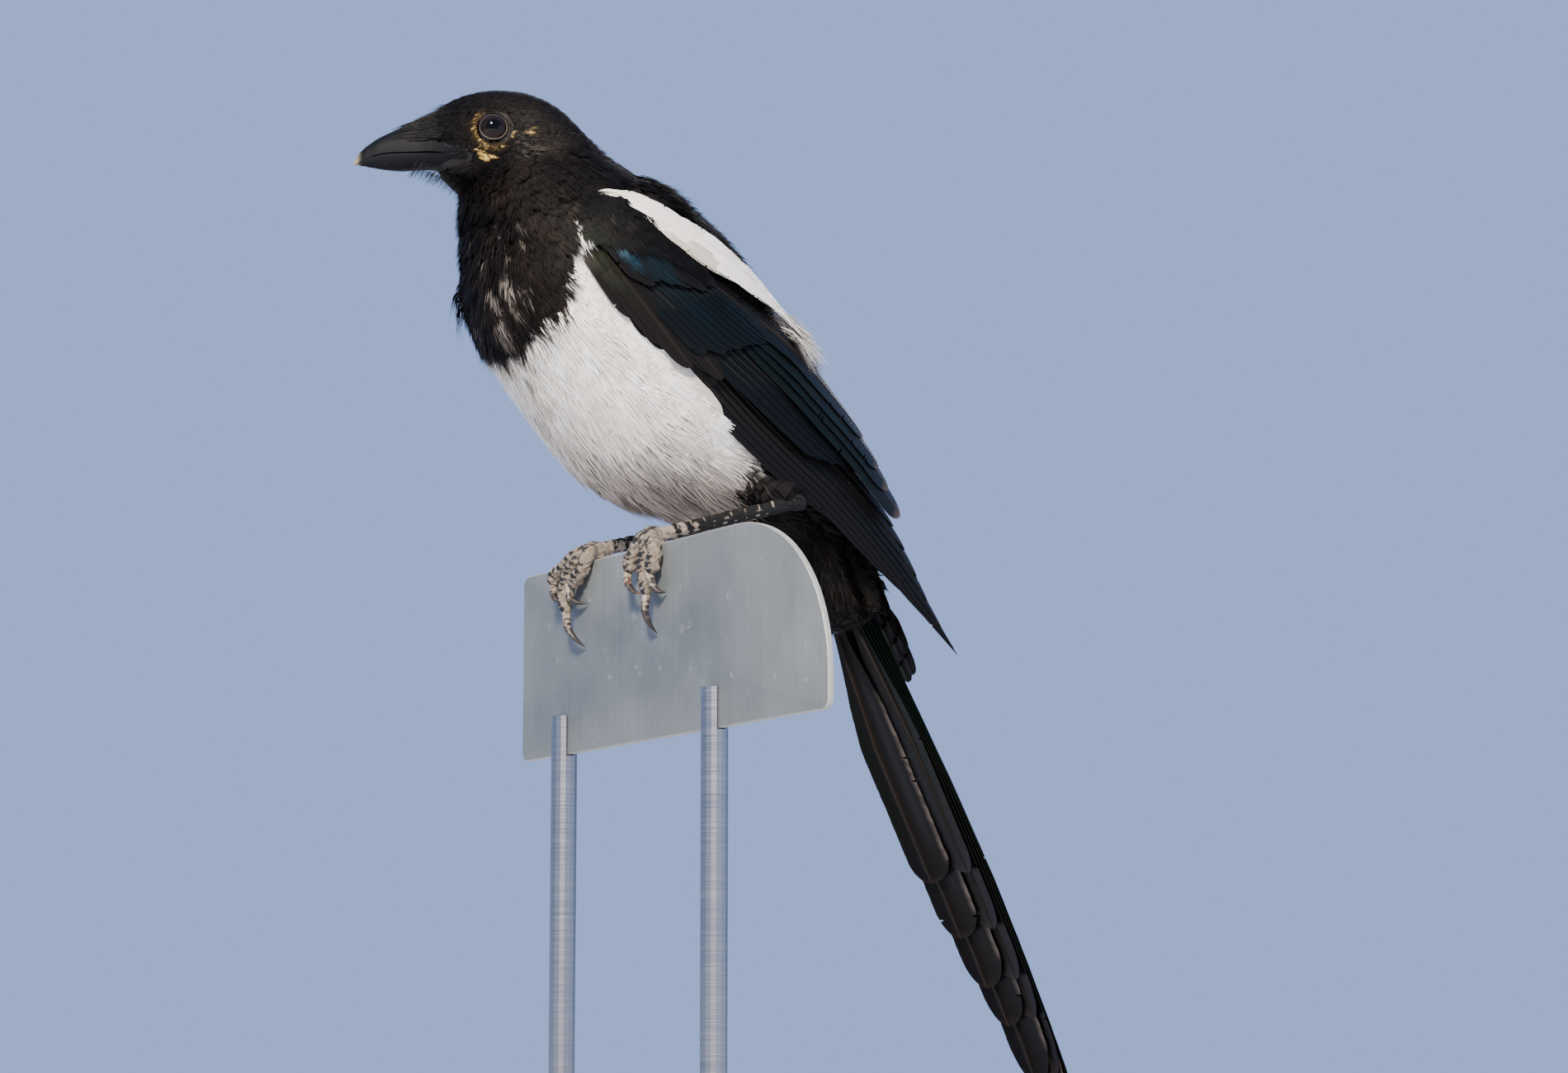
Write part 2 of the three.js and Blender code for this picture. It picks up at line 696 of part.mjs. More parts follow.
// Legs and feet.
function heelAt(side) {
  return new THREE.Vector3(HEEL.x, side * HEEL.y, HEEL.z);
}

function thighSolid(side, lift) {
  const knee = new THREE.Vector3(KNEE.x, side * KNEE.y, KNEE.z);
  const end = heelAt(side).lerp(knee, 0.1);
  return limb([knee, knee.clone().lerp(end, 0.5), end], [7 + lift, 5.4 + lift, 3.4 + lift], 10);
}

// The tarsus, from the heel to the ball of the foot, with a raised plate at each scute on its front.
function tarsusSolid(sideName, side, lift) {
  const heel = heelAt(side);
  const ball = footPoint([4.8, BALL_PLACES[sideName], 4.1]);
  const along = ball.clone().sub(heel).normalize();
  const across = new THREE.Vector3(0, 1, 0).addScaledVector(along, -along.y).normalize();
  const up = across.clone().cross(along);
  if (up.z < 0) up.negate();
  const scutes = 7;
  const stops = [[-0.02, 0.5], [0, 1.25], [0.05, 1.3], [0.1, 1]];
  for (let s = 0; s < scutes; s++) {
    const at = 0.12 + (0.82 * s) / scutes;
    stops.push([at, 1], [at + 0.02, 1.13], [at + 0.1, 1.08]);
  }
  stops.push([0.96, 1.1], [1, 1.05]);
  const rings = stops.map(([f, plate]) => {
    const middle = heel.clone().lerp(ball, f);
    return Array.from({ length: 6 }, (_, k) => {
      const angle = (2 * Math.PI * k) / 6;
      const reach = lift + TARSUS_RADIUS * (Math.sin(angle) > -0.2 ? plate : Math.min(plate, 1.06));
      return middle
        .clone()
        .addScaledVector(across, 0.86 * reach * Math.cos(angle))
        .addScaledVector(up, reach * Math.sin(angle));
    });
  });
  return solidOf(loft(rings));
}

// Each toe's path from the ball of the foot over the panel's edge, its radii, and its claw's path, all
// from the panel's upper edge. The left foot is turned out a little more than the right one.
const TOES = {
  left: {
    inner: {
      path: [[0.5, -19.3, 3.3], [-2.5, -20.4, 1.9], [-3.8, -19, -1.4], [-4.5, -17.2, -4.2], [-4.6, -17.2, -7.6]],
      radii: [2.5, 2.4, 2.2, 2.5, 1.9],
      claw: [[-4.9, -16.5, -8.7], [-5.7, -17.9, -11.2], [-5.3, -20.4, -13.7], [-4.3, -23, -14.7]],
    },
    middle: {
      path: [[0.5, -19.9, 3.3], [-2.6, -23, 1.8], [-3.7, -25, -2.6], [-4.3, -24.2, -8], [-4.5, -26.2, -13], [-4.3, -27, -15.8]],
      radii: [2.5, 2.4, 2.2, 1.9, 2, 1.7],
      claw: [[-4.5, -26.6, -17], [-5.4, -27.4, -20.4], [-4.2, -27.8, -24], [-1.7, -28.2, -27]],
    },
    outer: {
      path: [[0.5, -20.6, 3.2], [-2.5, -25.8, 1.4], [-3.6, -29.8, -3], [-4.2, -29.5, -6.8], [-4.2, -29.1, -9.4]],
      radii: [2.5, 2.3, 2.1, 2.4, 1.8],
      claw: [[-4.4, -28.7, -10.6], [-4.5, -30.2, -13], [-3.3, -31.8, -15], [-1.7, -33.1, -15.3]],
    },
    hind: {
      path: [[1.5, -19.6, 3.3], [3.8, -19.3, 1.2], [3.8, -19.2, -4], [3.4, -19.2, -8.5]],
      radii: [2.5, 2.4, 2.2, 1.9],
      claw: [[3.5, -19.2, -9.8], [4.6, -19.2, -13.6], [3.8, -19.2, -17.4], [1.8, -19.2, -20]],
    },
  },
  right: {
    inner: {
      path: [[0.5, 15.1, 3.2], [-2.6, 11.8, 1.6], [-3.7, 12.9, -2.9], [-4.4, 16, -5.4], [-4.4, 18.2, -7.6]],
      radii: [2.5, 2.3, 2.1, 2.4, 1.8],
      claw: [[-4.6, 19.2, -8.8], [-4.7, 18.6, -11], [-3.4, 16.2, -12.6], [-1.7, 13.4, -13.2]],
    },
    middle: {
      path: [[0.5, 15.6, 3.3], [-2.7, 16.2, 1.9], [-3.9, 20.2, -2.6], [-4.5, 23, -8], [-4.6, 22.2, -12.6], [-4.4, 20.6, -15.4]],
      radii: [2.5, 2.4, 2.2, 1.9, 2, 1.7],
      claw: [[-4.6, 20.8, -16.7], [-5.4, 18.8, -20.2], [-4.2, 16.4, -23.7], [-1.7, 14.7, -26.4]],
    },
    outer: {
      path: [[0.5, 16.2, 3.3], [-2.6, 19.6, 1.9], [-4, 24.2, -1], [-4.8, 27.8, -3.2], [-4.8, 28.8, -6]],
      radii: [2.5, 2.4, 2.2, 2.5, 1.9],
      claw: [[-5, 28.4, -7.2], [-5.9, 26.8, -9.6], [-5.4, 24.8, -11.2], [-4.4, 22.5, -11.9]],
    },
    hind: {
      path: [[1.5, 16, 3.3], [3.8, 15.8, 1.2], [3.8, 15.7, -4], [3.4, 15.6, -8.5]],
      radii: [2.5, 2.4, 2.2, 1.9],
      claw: [[3.5, 15.6, -9.8], [4.6, 15.6, -13.6], [3.8, 15.6, -17.4], [1.8, 15.6, -20]],
    },
  },
};
const CLAW_RADII = [1.5, 1.35, 0.95, 0.3];

// A point of a foot, from the panel's upper edge.
function footPoint([x, y, z]) {
  return new THREE.Vector3(x, y, PANEL_TOP + z);
}

function clawSolid(toe, lift) {
  return limb(toe.claw.map(footPoint), CLAW_RADII.map((r) => r + lift), 5, 4);
}

function footSolid(sideName, side) {
  const toes = Object.values(TOES[sideName]);
  const ball = limb(
    [[4.5, 0, 3.9], [2.4, 0, 3.7], [0.2, 0, 3.3]].map(([x, y, z]) => footPoint([x, y + BALL_PLACES[sideName], z])),
    [2.3, 2.9, 2.9],
    9,
  );
  const phalanges = toes.map((toe) => limb(toe.path.map(footPoint), toe.radii, 6, 6));
  const claws = toes.map((toe) => clawSolid(toe, GAP));
  return joined([ball, ...phalanges])
    .subtract(joined(claws))
    .subtract(tarsusSolid(sideName, side, GAP))
    .subtract(panelSolid(GAP));
}

// The cut length of sheet metal, with its round upper corner.
function panelSolid(lift) {
  const [left, right] = [PANEL_LEFT - lift, PANEL_RIGHT + lift];
  const [low, high] = [PANEL_TOP - PANEL_HEIGHT - lift, PANEL_TOP + lift];
  const corner = PANEL_CORNER;
  const small = 3;
  const outline = new THREE.Shape();
  outline.moveTo(left + small, low);
  outline.lineTo(right - small, low);
  outline.absarc(right - small, low + small, small, -Math.PI / 2, 0, false);
  outline.lineTo(right, high - small);
  outline.absarc(right - small, high - small, small, 0, Math.PI / 2, false);
  outline.lineTo(left + corner, high);
  outline.absarc(left + corner, high - corner, corner, Math.PI / 2, Math.PI, false);
  outline.lineTo(left, low + small);
  outline.absarc(left + small, low + small, small, Math.PI, 1.5 * Math.PI, false);
  const thick = PANEL_THICKNESS + 2 * lift;
  const sheet = new THREE.ExtrudeGeometry(outline, { depth: thick, bevelEnabled: false, curveSegments: 8 });
  const turn = new THREE.Matrix4().makeBasis(
    new THREE.Vector3(0, 1, 0),
    new THREE.Vector3(0, 0, 1),
    new THREE.Vector3(1, 0, 0),
  );
  sheet.applyMatrix4(turn).translate(-thick / 2, 0, 0);
  return solidOf(sheet);
}

// One rod of the stand, in the part's frame, slotted at the top for the panel.
function rodSolid(across) {
  const top = BIRD_HEIGHT + PANEL_TOP - PANEL_HEIGHT + SLOT_DEPTH;
  const bottom = BASE_THICKNESS + GAP;
  const rod = new THREE.CylinderGeometry(ROD_RADIUS, ROD_RADIUS, top - bottom, 16);
  rod.rotateX(Math.PI / 2).translate(PERCH_X, across, (top + bottom) / 2);
  const slot = new THREE.BoxGeometry(PANEL_THICKNESS + 2 * GAP, 4 * ROD_RADIUS, 2 * SLOT_DEPTH + 2 * GAP);
  slot.translate(PERCH_X, across, top);
  return solidOf(rod).subtract(solidOf(slot));
}

function baseSolid() {
  const [x, y] = [BASE_LENGTH / 2 - BASE_BEVEL, BASE_WIDTH / 2 - BASE_BEVEL];
  const outline = new THREE.Shape();
  const corner = BASE_CORNER;
  outline.absarc(x - corner, y - corner, corner, 0, Math.PI / 2, false);
  outline.absarc(corner - x, y - corner, corner, Math.PI / 2, Math.PI, false);
  outline.absarc(corner - x, corner - y, corner, Math.PI, 1.5 * Math.PI, false);
  outline.absarc(x - corner, corner - y, corner, 1.5 * Math.PI, 2 * Math.PI, false);
  const plate = new THREE.ExtrudeGeometry(outline, {
    depth: BASE_THICKNESS - 2 * BASE_BEVEL,
    bevelSize: BASE_BEVEL,
    bevelThickness: BASE_BEVEL,
    bevelSegments: 1,
    curveSegments: 5,
  });
  return solidOf(plate.translate(0, 0, BASE_BEVEL));
}

// A solid parted by a plane with the gap between touching pieces: the side that the plane's direction
// points to, and the other.
const CUT_BOX = 600;
function parted(solid, point, direction) {
  const turn = new THREE.Quaternion().setFromUnitVectors(new THREE.Vector3(0, 0, 1), direction);
  const half = (sign) => {
    const box = new THREE.BoxGeometry(CUT_BOX, CUT_BOX, CUT_BOX);
    box.translate(0, 0, sign * (CUT_BOX / 2 + GAP / 2)).applyQuaternion(turn);
    return solidOf(box.translate(point.x, point.y, point.z));
  };
  return [solid.intersect(half(1)), solid.intersect(half(-1))];
}

// The directions of a plane across the trunk, and of one along it, by the slope of the trunk's axis.
const backward = (slope) =>
  new THREE.Vector3(Math.cos(slope * DEGREES), 0, -Math.sin(slope * DEGREES));
const dorsal = (slope) => new THREE.Vector3(Math.sin(slope * DEGREES), 0, Math.cos(slope * DEGREES));

// Where the body is parted: the head from the neck, the neck from the breast and back, the black
// breast from the white belly, the black back from the belly, and the vent behind the belly.
const HEAD_CUT = { u: -1, w: -9, slant: 58.6 };
const NECK_CUT = { x: -26, z: 103, slope: 57 };
const BREAST_CUT = { x: -44.5, z: 52.9, slope: 28.5 };
const BACK_CUT = { x: 2.4, z: 66.5, slope: 42, high: 20 };
const VENT_CUT = { x: 58, z: 22, slope: 45 };

function bodySolids() {
  const sockets = joined([-1, 1].map((side) => thighSolid(side, GAP)));
  const recesses = joined([-1, 1].map(recessSolid));
  const trunk = trunkSolid(0).subtract(recesses).subtract(sockets).subtract(panelSolid(GAP));
  const facing = headPoint(Math.cos(HEAD_CUT.slant * DEGREES), 0, Math.sin(HEAD_CUT.slant * DEGREES)).sub(HEAD_AT);
  const eyes = [-1, 1].map((side) => ballAt(headPoint(EYE.u, side * EYE.v, EYE.w), EYE.radius + GAP));
  const whole = trunk.add(headSolid()).subtract(joined(eyes));
  const [head, torso] = parted(whole, headPoint(HEAD_CUT.u, 0, HEAD_CUT.w), facing);
  const [lower, neck] = parted(torso, new THREE.Vector3(NECK_CUT.x, 0, NECK_CUT.z), backward(NECK_CUT.slope));
  const [behind, front] = parted(lower, new THREE.Vector3(VENT_CUT.x, 0, VENT_CUT.z), backward(VENT_CUT.slope));
  const middle = new THREE.Vector3(BACK_CUT.x, 0, BACK_CUT.z);
  middle.addScaledVector(dorsal(BACK_CUT.slope), BACK_CUT.high);
  const [back, under] = parted(front, middle, dorsal(BACK_CUT.slope));
  const edge = new THREE.Vector3(BREAST_CUT.x, 0, BREAST_CUT.z);
  const [belly, breast] = parted(under, edge, backward(BREAST_CUT.slope));
  return { head, neck, vent: behind, back, belly, breast };
}

// Colours and finishes.
const black = new THREE.MeshStandardMaterial({ color: 0x15130f, roughness: 0.8, metalness: 0 });
const white = new THREE.MeshStandardMaterial({ color: 0xe9e4dc, roughness: 0.85, metalness: 0 });
const gloss = new THREE.MeshStandardMaterial({ color: 0x10202a, roughness: 0.4, metalness: 0 });
const horn = new THREE.MeshStandardMaterial({ color: 0x1b1c20, roughness: 0.35, metalness: 0 });
const eyeball = new THREE.MeshStandardMaterial({ color: 0x0b0908, roughness: 0.08, metalness: 0 });
const scaled = new THREE.MeshStandardMaterial({ color: 0x6f655c, roughness: 0.75, metalness: 0 });
const metal = new THREE.MeshStandardMaterial({ color: 0x8d979d, roughness: 0.5, metalness: 0.9 });
const steel = new THREE.MeshStandardMaterial({ color: 0x9a9da0, roughness: 0.35, metalness: 1 });
const wood = new THREE.MeshStandardMaterial({ color: 0x6b4a30, roughness: 0.55, metalness: 0 });

// The bird and its perch, in the bird's frame.
const bird = new THREE.Group();
bird.position.set(PERCH_X, 0, BIRD_HEIGHT);
const body = bodySolids();
const bodyColours = { head: black, neck: black, breast: black, belly: white, back: black, vent: black };
for (const [name, colour] of Object.entries(bodyColours)) bird.add(meshOf(name, body[name], colour));
bird.add(meshOf("upper_bill", upperBillSolid(), horn));
bird.add(meshOf("lower_bill", lowerBillSolid(), horn));
bird.add(meshOf("tail", tailSolid(), gloss));
bird.add(meshOf("perch_panel", panelSolid(0), metal));
for (const [name, side] of [["left", -1], ["right", 1]]) {
  bird.add(meshOf("eye_" + name, ballAt(headPoint(EYE.u, side * EYE.v, EYE.w), EYE.radius), eyeball));
  bird.add(meshOf("wing_" + name, wingSolid(side), gloss));
  bird.add(meshOf("scapulars_" + name, scapularSolid(side), white));
  const thigh = thighSolid(side, 0).subtract(tarsusSolid(name, side, GAP)).subtract(recessSolid(side));
  bird.add(meshOf("thigh_" + name, thigh, black));
  bird.add(meshOf("tarsus_" + name, tarsusSolid(name, side, 0), scaled));
  bird.add(meshOf("foot_" + name, footSolid(name, side), scaled));
  for (const [toeName, toe] of Object.entries(TOES[name])) {
    bird.add(meshOf("claw_" + toeName + "_" + name, clawSolid(toe, 0), horn));
  }
}

// The stand, in the part's frame.
const part = new THREE.Group();
part.add(bird);
part.add(meshOf("stand_base", baseSolid(), wood));
for (const [name, across] of Object.entries(ROD_PLACES)) {
  part.add(meshOf("stand_rod_" + name, rodSolid(across), steel));
}
export default part;
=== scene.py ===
import math

import bpy
import numpy as np
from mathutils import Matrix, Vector
from mathutils.bvhtree import BVHTree


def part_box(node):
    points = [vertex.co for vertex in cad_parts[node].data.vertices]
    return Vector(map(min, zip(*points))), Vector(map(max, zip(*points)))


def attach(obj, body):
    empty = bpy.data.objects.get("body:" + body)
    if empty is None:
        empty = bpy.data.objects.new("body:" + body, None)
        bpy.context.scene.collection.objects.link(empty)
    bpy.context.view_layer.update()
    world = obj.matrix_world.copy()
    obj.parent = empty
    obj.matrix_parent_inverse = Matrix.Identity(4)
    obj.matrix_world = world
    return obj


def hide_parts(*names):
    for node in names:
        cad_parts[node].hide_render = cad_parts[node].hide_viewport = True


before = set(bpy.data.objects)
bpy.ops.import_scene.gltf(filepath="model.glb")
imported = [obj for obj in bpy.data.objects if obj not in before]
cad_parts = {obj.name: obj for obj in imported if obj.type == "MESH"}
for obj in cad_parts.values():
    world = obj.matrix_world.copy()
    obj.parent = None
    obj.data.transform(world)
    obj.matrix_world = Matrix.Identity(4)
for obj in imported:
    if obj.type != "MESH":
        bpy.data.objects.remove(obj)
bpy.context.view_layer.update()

# Camera. A long lens, 1.25 m from the bird, to the left of its breast and a little below it, so that
# it looks up by 9 degrees. Places are metres in the frame of the part.
CAMERA_PLACE = Vector((-0.61769, -1.04126, 0.02088))
CAMERA_AIM = Vector((0.04567, 0.0, 0.21643))
FOCAL_LENGTH = 92.37  # mm, on a sensor 36 mm wide

long_lens = bpy.data.cameras.new("long_lens")
long_lens.lens = FOCAL_LENGTH
long_lens.sensor_width = 36.0
camera = bpy.data.objects.new("camera", long_lens)
camera.location = CAMERA_PLACE
camera.rotation_euler = (CAMERA_AIM - CAMERA_PLACE).to_track_quat("-Z", "Y").to_euler()
bpy.context.scene.collection.objects.link(camera)
bpy.context.scene.camera = camera

# Skin. One closed hide over the head, the trunk and the thighs, a coat's depth inside the plumage, on
# which every small feather stands. Sizes here and below are mm in the bird's frame, whose origin stands
# over the middle of the perch's upper edge; the bird faces -X and its right side is +Y.
MM = 0.001
PERCH_DROP = 4.6  # from the bird's origin down to the edge that the feet hold
perch_low, perch_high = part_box("perch_panel")
BIRD_AT = np.array([(perch_low[0] + perch_high[0]) / 2, 0.0, perch_high[2] + PERCH_DROP * MM])
COAT_DEPTH = 3.0  # from the hide out to the feathered outline, on the body and on the face
FACE_DEPTH = 1.2
HIDE_GRAIN = 1.1  # size of the cubes that the hide is fused from

# Rings across the trunk: middle x and z, slope of the axis below the level, and the reach to the back,
# the belly and the side.
TRUNK = np.array([
    (-38, 120, 62, 13, 12, 12),
    (-31, 110, 58, 21, 23, 21),
    (-24.2, 100.5, 57, 27.5, 29.5, 28),
    (-15.1, 85, 52, 35.5, 37, 35.5),
    (2.4, 66.5, 44, 40.5, 41, 39),
    (22.5, 47.6, 40, 39, 40, 38.5),
    (46, 32, 42, 31, 31, 30),
    (65.2, 13.3, 48, 18, 17, 18),
    (79, -4, 57, 12.5, 13, 14),
    (86.5, -16, 62, 10.5, 12, 13.5),
])
# Rings of the skull: forward of its middle, top, bottom and half width.
SKULL = np.array([
    (-24, -4, -11, 5),
    (-20, 3.2, -16, 11),
    (-14, 9.6, -18, 14.4),
    (-6, 14, -18.5, 16),
    (3, 15.5, -18, 15.8),
    (10, 14.9, -16.8, 14.4),
    (17, 12.8, -14.6, 11.8),
    (22, 10, -12.2, 9.2),
    (25.5, 7.3, -10.3, 7),
])
HEAD_AT = np.array([-35.3, 2.0, 119.5])
HEAD_TURN = math.radians(25)  # to the bird's right
KNEE = np.array([31.0, 17.0, 25.0])
HEEL = np.array([48.8, 27.0, 12.4])


def smoothstep(value, low, high):
    t = np.clip((np.asarray(value, float) - low) / (high - low), 0, 1)
    return t * t * (3 - 2 * t)


def through(knots, place):
    """A smooth value through evenly spaced knots."""
    place = np.asarray(place, float)
    k = np.clip(np.floor(place).astype(int), 0, len(knots) - 2)
    t = (place - k)[..., None]
    p1, p2 = knots[k], knots[k + 1]
    p0 = np.where((k > 0)[..., None], knots[np.maximum(k - 1, 0)], 2 * p1 - p2)
    p3 = np.where((k + 2 < len(knots))[..., None], knots[np.minimum(k + 2, len(knots) - 1)], 2 * p2 - p1)
    return p1 + 0.5 * t * (p2 - p0 + t * (2 * p0 - 5 * p1 + 4 * p2 - p3 + t * (3 * (p1 - p2) + p3 - p0)))


def read_off(table, place):
    """The table's second column at a place in its first."""
    return np.interp(place, table[:, 0], table[:, 1])


def unit(vectors):
    return vectors / np.maximum(np.linalg.norm(vectors, axis=-1), 1e-9)[..., None]


def ring_point(station, angle, lift):
    """A point of a trunk ring; the angle runs from the back, 0, over the right side, 90, to the belly."""
    slope, turn = np.radians(station[..., 2]), np.radians(angle)
    up, out = np.cos(turn), np.sin(turn)
    deep = np.where(up > 0, station[..., 3], station[..., 4]) + lift
    return np.stack([
        station[..., 0] + np.sin(slope) * deep * up,
        (station[..., 5] + lift) * out,
        station[..., 1] + np.cos(slope) * deep * up,
    ], -1)


def head_point(forward, right, up):
    forward, right, up = np.broadcast_arrays(forward, right, np.asarray(up, float))
    return np.stack([
        HEAD_AT[0] - math.cos(HEAD_TURN) * forward + math.sin(HEAD_TURN) * right,
        HEAD_AT[1] + math.sin(HEAD_TURN) * forward + math.cos(HEAD_TURN) * right,
        HEAD_AT[2] + up,
    ], -1)


def head_place(points):
    """Forward, right and up of points in the head's frame."""
    off = points - HEAD_AT
    forward = -math.cos(HEAD_TURN) * off[:, 0] + math.sin(HEAD_TURN) * off[:, 1]
    right = math.sin(HEAD_TURN) * off[:, 0] + math.cos(HEAD_TURN) * off[:, 1]
    return forward, right, off[:, 2]


def lofted(rings):
    """Points and triangles of a closed form through rings of as many points each."""
    count, sides = rings.shape[:2]
    r, s = np.meshgrid(np.arange(count - 1), np.arange(sides), indexing="ij")
    t = (s + 1) % sides
    a, b, c, d = r * sides + s, (r + 1) * sides + s, (r + 1) * sides + t, r * sides + t
    walls = np.concatenate([np.stack([a, b, c], -1).reshape(-1, 3), np.stack([a, c, d], -1).reshape(-1, 3)])
    s, last = np.arange(sides), (count - 1) * sides
    t = (s + 1) % sides
    first_cap = np.stack([np.full(sides, count * sides), s, t], -1)
    last_cap = np.stack([np.full(sides, count * sides + 1), last + t, last + s], -1)
    points = np.concatenate([rings.reshape(-1, 3), rings[[0, -1]].mean(1)])
    faces = np.concatenate([walls, first_cap, last_cap])
    corners = points[faces]
    volume = np.einsum("ij,ij->i", corners[:, 0], np.cross(corners[:, 1], corners[:, 2])).sum()
    return points, faces if volume > 0 else faces[:, ::-1]


def merged(parts):
    """Points and faces of several meshes as one."""
    starts = np.cumsum([0] + [len(points) for points, _ in parts])
    return (
        np.concatenate([points for points, _ in parts]),
        np.concatenate([faces + start for (_, faces), start in zip(parts, starts)]),
    )


def mesh_piece(name, points, faces, material, smooth=True):
    """A Blender object of faces with as many corners each, from mm in the bird's frame."""
    faces = np.ascontiguousarray(faces, dtype=np.int32)
    mesh = bpy.data.meshes.new(name)
    mesh.vertices.add(len(points))
    mesh.vertices.foreach_set("co", (BIRD_AT + points * MM).astype(np.float32).ravel())
    mesh.loops.add(faces.size)
    mesh.loops.foreach_set("vertex_index", faces.ravel())
    mesh.polygons.add(len(faces))
    mesh.polygons.foreach_set("loop_start", np.arange(0, faces.size, faces.shape[1], dtype=np.int32))
    mesh.polygons.foreach_set("use_smooth", np.full(len(faces), smooth))
    mesh.materials.append(material)
    mesh.update(calc_edges=True)
    piece = bpy.data.objects.new(name, mesh)
    bpy.context.scene.collection.objects.link(piece)
    return piece


def settled(piece):
    """The piece with its modifiers made part of its mesh."""
    bpy.context.view_layer.update()
    done = bpy.data.meshes.new_from_object(piece.evaluated_get(bpy.context.evaluated_depsgraph_get()))
    piece.modifiers.clear()
    piece.data = done
    return piece


def corners_of(piece):
    """The piece's vertices as mm in the bird's frame, and their normals."""
    mesh = piece.data
    places = np.empty(len(mesh.vertices) * 3, np.float32)
    normals = np.empty(len(mesh.vertices) * 3, np.float32)
    mesh.vertices.foreach_get("co", places)
    mesh.vertex_normals.foreach_get("vector", normals)
    return (places.reshape(-1, 3).astype(float) - BIRD_AT) / MM, normals.reshape(-1, 3).astype(float)


def paint(piece, name, values):
    """A colour at each vertex, for the material to read."""
    layer = piece.data.color_attributes.new(name, "FLOAT_COLOR", "POINT")
    rgba = np.ones((len(values), 4), np.float32)
    rgba[:, :3] = values
    layer.data.foreach_set("color", rgba.ravel())


def linear(hex_colour):
    """An sRGB hex colour as linear red, green and blue."""
    values = np.array([int(hex_colour[i:i + 2], 16) / 255 for i in (1, 3, 5)])
    return np.where(values <= 0.04045, values / 12.92, ((values + 0.055) / 1.055) ** 2.4)


def rgba(hex_colour):
    return (*linear(hex_colour), 1.0)


def add(tree, kind, links=(), **settings):
    """A node in a tree. Settings name its properties or sockets; links give what feeds each socket."""
    node = tree.nodes.new(kind)
    for key, value in settings.items():
        if hasattr(node, key):
            setattr(node, key, value)
        else:
            node.inputs[key.replace("_", " ")].default_value = value
    for socket, source in dict(links).items():
        tree.links.new(source, node.inputs[socket])
    return node


def finish(name, roughness, colour="#808080", **settings):
    """A material with a Principled surface, as its tree and its surface node."""
    material = bpy.data.materials.new(name)
    material.use_nodes = True
    tree = material.node_tree
    surface = tree.nodes["Principled BSDF"]
    surface.inputs["Base Color"].default_value = rgba(colour)
    surface.inputs["Roughness"].default_value = roughness
    for socket, value in settings.items():
        surface.inputs[socket.replace("_", " ")].default_value = value
    return material, tree, surface


def painted(tree, layer="plumage"):
    """The colour painted on the piece's vertices."""
    return add(tree, "ShaderNodeVertexColor", layer_name=layer).outputs["Color"]


def painted_finish(name, roughness, **settings):
    """A plain finish in the colour painted on the piece's vertices."""
    material, tree, surface = finish(name, roughness, **settings)
    tree.links.new(painted(tree), surface.inputs["Base Color"])
    return material


def trunk_place(points):
    """The trunk ring through each point, and the angle off the back, 0 to 180 on both sides."""
    places = np.linspace(0, len(TRUNK) - 1, 145)
    stations = through(TRUNK, places)
    slope = np.radians(stations[:, 2])
    place, angle = np.empty(len(points)), np.empty(len(points))
    for start in range(0, len(points), 20000):
        some = points[start:start + 20000]
        off_x = some[:, None, 0] - stations[:, 0]
        off_z = some[:, None, 2] - stations[:, 1]
        along = off_x * np.cos(slope) - off_z * np.sin(slope)
        rise = off_x * np.sin(slope) + off_z * np.cos(slope)
        best = np.argmin(along ** 2 + 0.02 * rise ** 2, 1)
        rows = np.arange(len(some))
        station = stations[best]
        up = rise[rows, best]
        up = up / np.where(up > 0, station[:, 3], station[:, 4])
        place[start:start + 20000] = places[best] + along[rows, best] / 400
        angle[start:start + 20000] = np.degrees(np.arctan2(np.abs(some[:, 1]) / station[:, 5], up))
    return place, angle


# The plane that parts the head from the trunk, and the way it faces.
HEAD_CUT = head_point(-1, 0, -9)
HEAD_SLANT = math.radians(58.6)
HEAD_FACING = head_point(math.cos(HEAD_SLANT), 0, math.sin(HEAD_SLANT)) - HEAD_AT


def head_share(points, blend=7.0):
    """1 on the head, 0 on the trunk, and between them over the nape and throat."""
    return smoothstep((points - HEAD_CUT) @ HEAD_FACING, -blend, blend)


# Markings. Black head, bib, mantle, vent and thighs, white belly, and a worn bird's pale mottles in the
# bib, with painted shade over the lower belly and in the crease under the throat, and a painted sheen on
# the cheeks. The same rules colour the skin and every feather on it.
BIB_EDGE = np.array([  # angle off the belly's middle, and the trunk ring where the white starts
    (0, 3.42), (10, 3.42), (20, 3.34), (30, 3.28), (38, 3.28), (47, 3.16), (56, 2.94), (62, 2.71),
    (68, 2.5), (72, 2.43), (76, 2.48), (84, 2.9),
])
VENT_EDGE = 6.55  # the trunk ring where the white ends
MOTTLES = [  # ring, angle, half length, half width and strength of each pale place in the bib
    (1.92, 155, 3.4, 1.0, 0.8), (1.83, 181, 3.6, 1.1, 0.9), (1.92, 169, 2.6, 0.8, 0.6),
    (2.25, 143, 2.0, 1.4, 0.5), (1.98, 141, 1.4, 1.8, 0.35), (2.23, 172, 3.8, 2.2, 0.5),
    (2.33, 153, 3.4, 1.2, 0.7), (2.73, 168, 5.4, 2.8, 1.0), (2.68, 157, 6.5, 3.0, 1.0),
    (2.82, 149, 3.2, 2.4, 0.9), (2.53, 157, 4.2, 1.5, 0.8), (2.93, 158, 5.2, 2.0, 0.8),
    (2.97, 190, 3.6, 1.3, 0.9), (3.10, 171, 6.4, 4.0, 1.0), (2.5, 176, 3.0, 1.0, 0.4),
    (2.08, 162, 2.4, 0.8, 0.5),
]
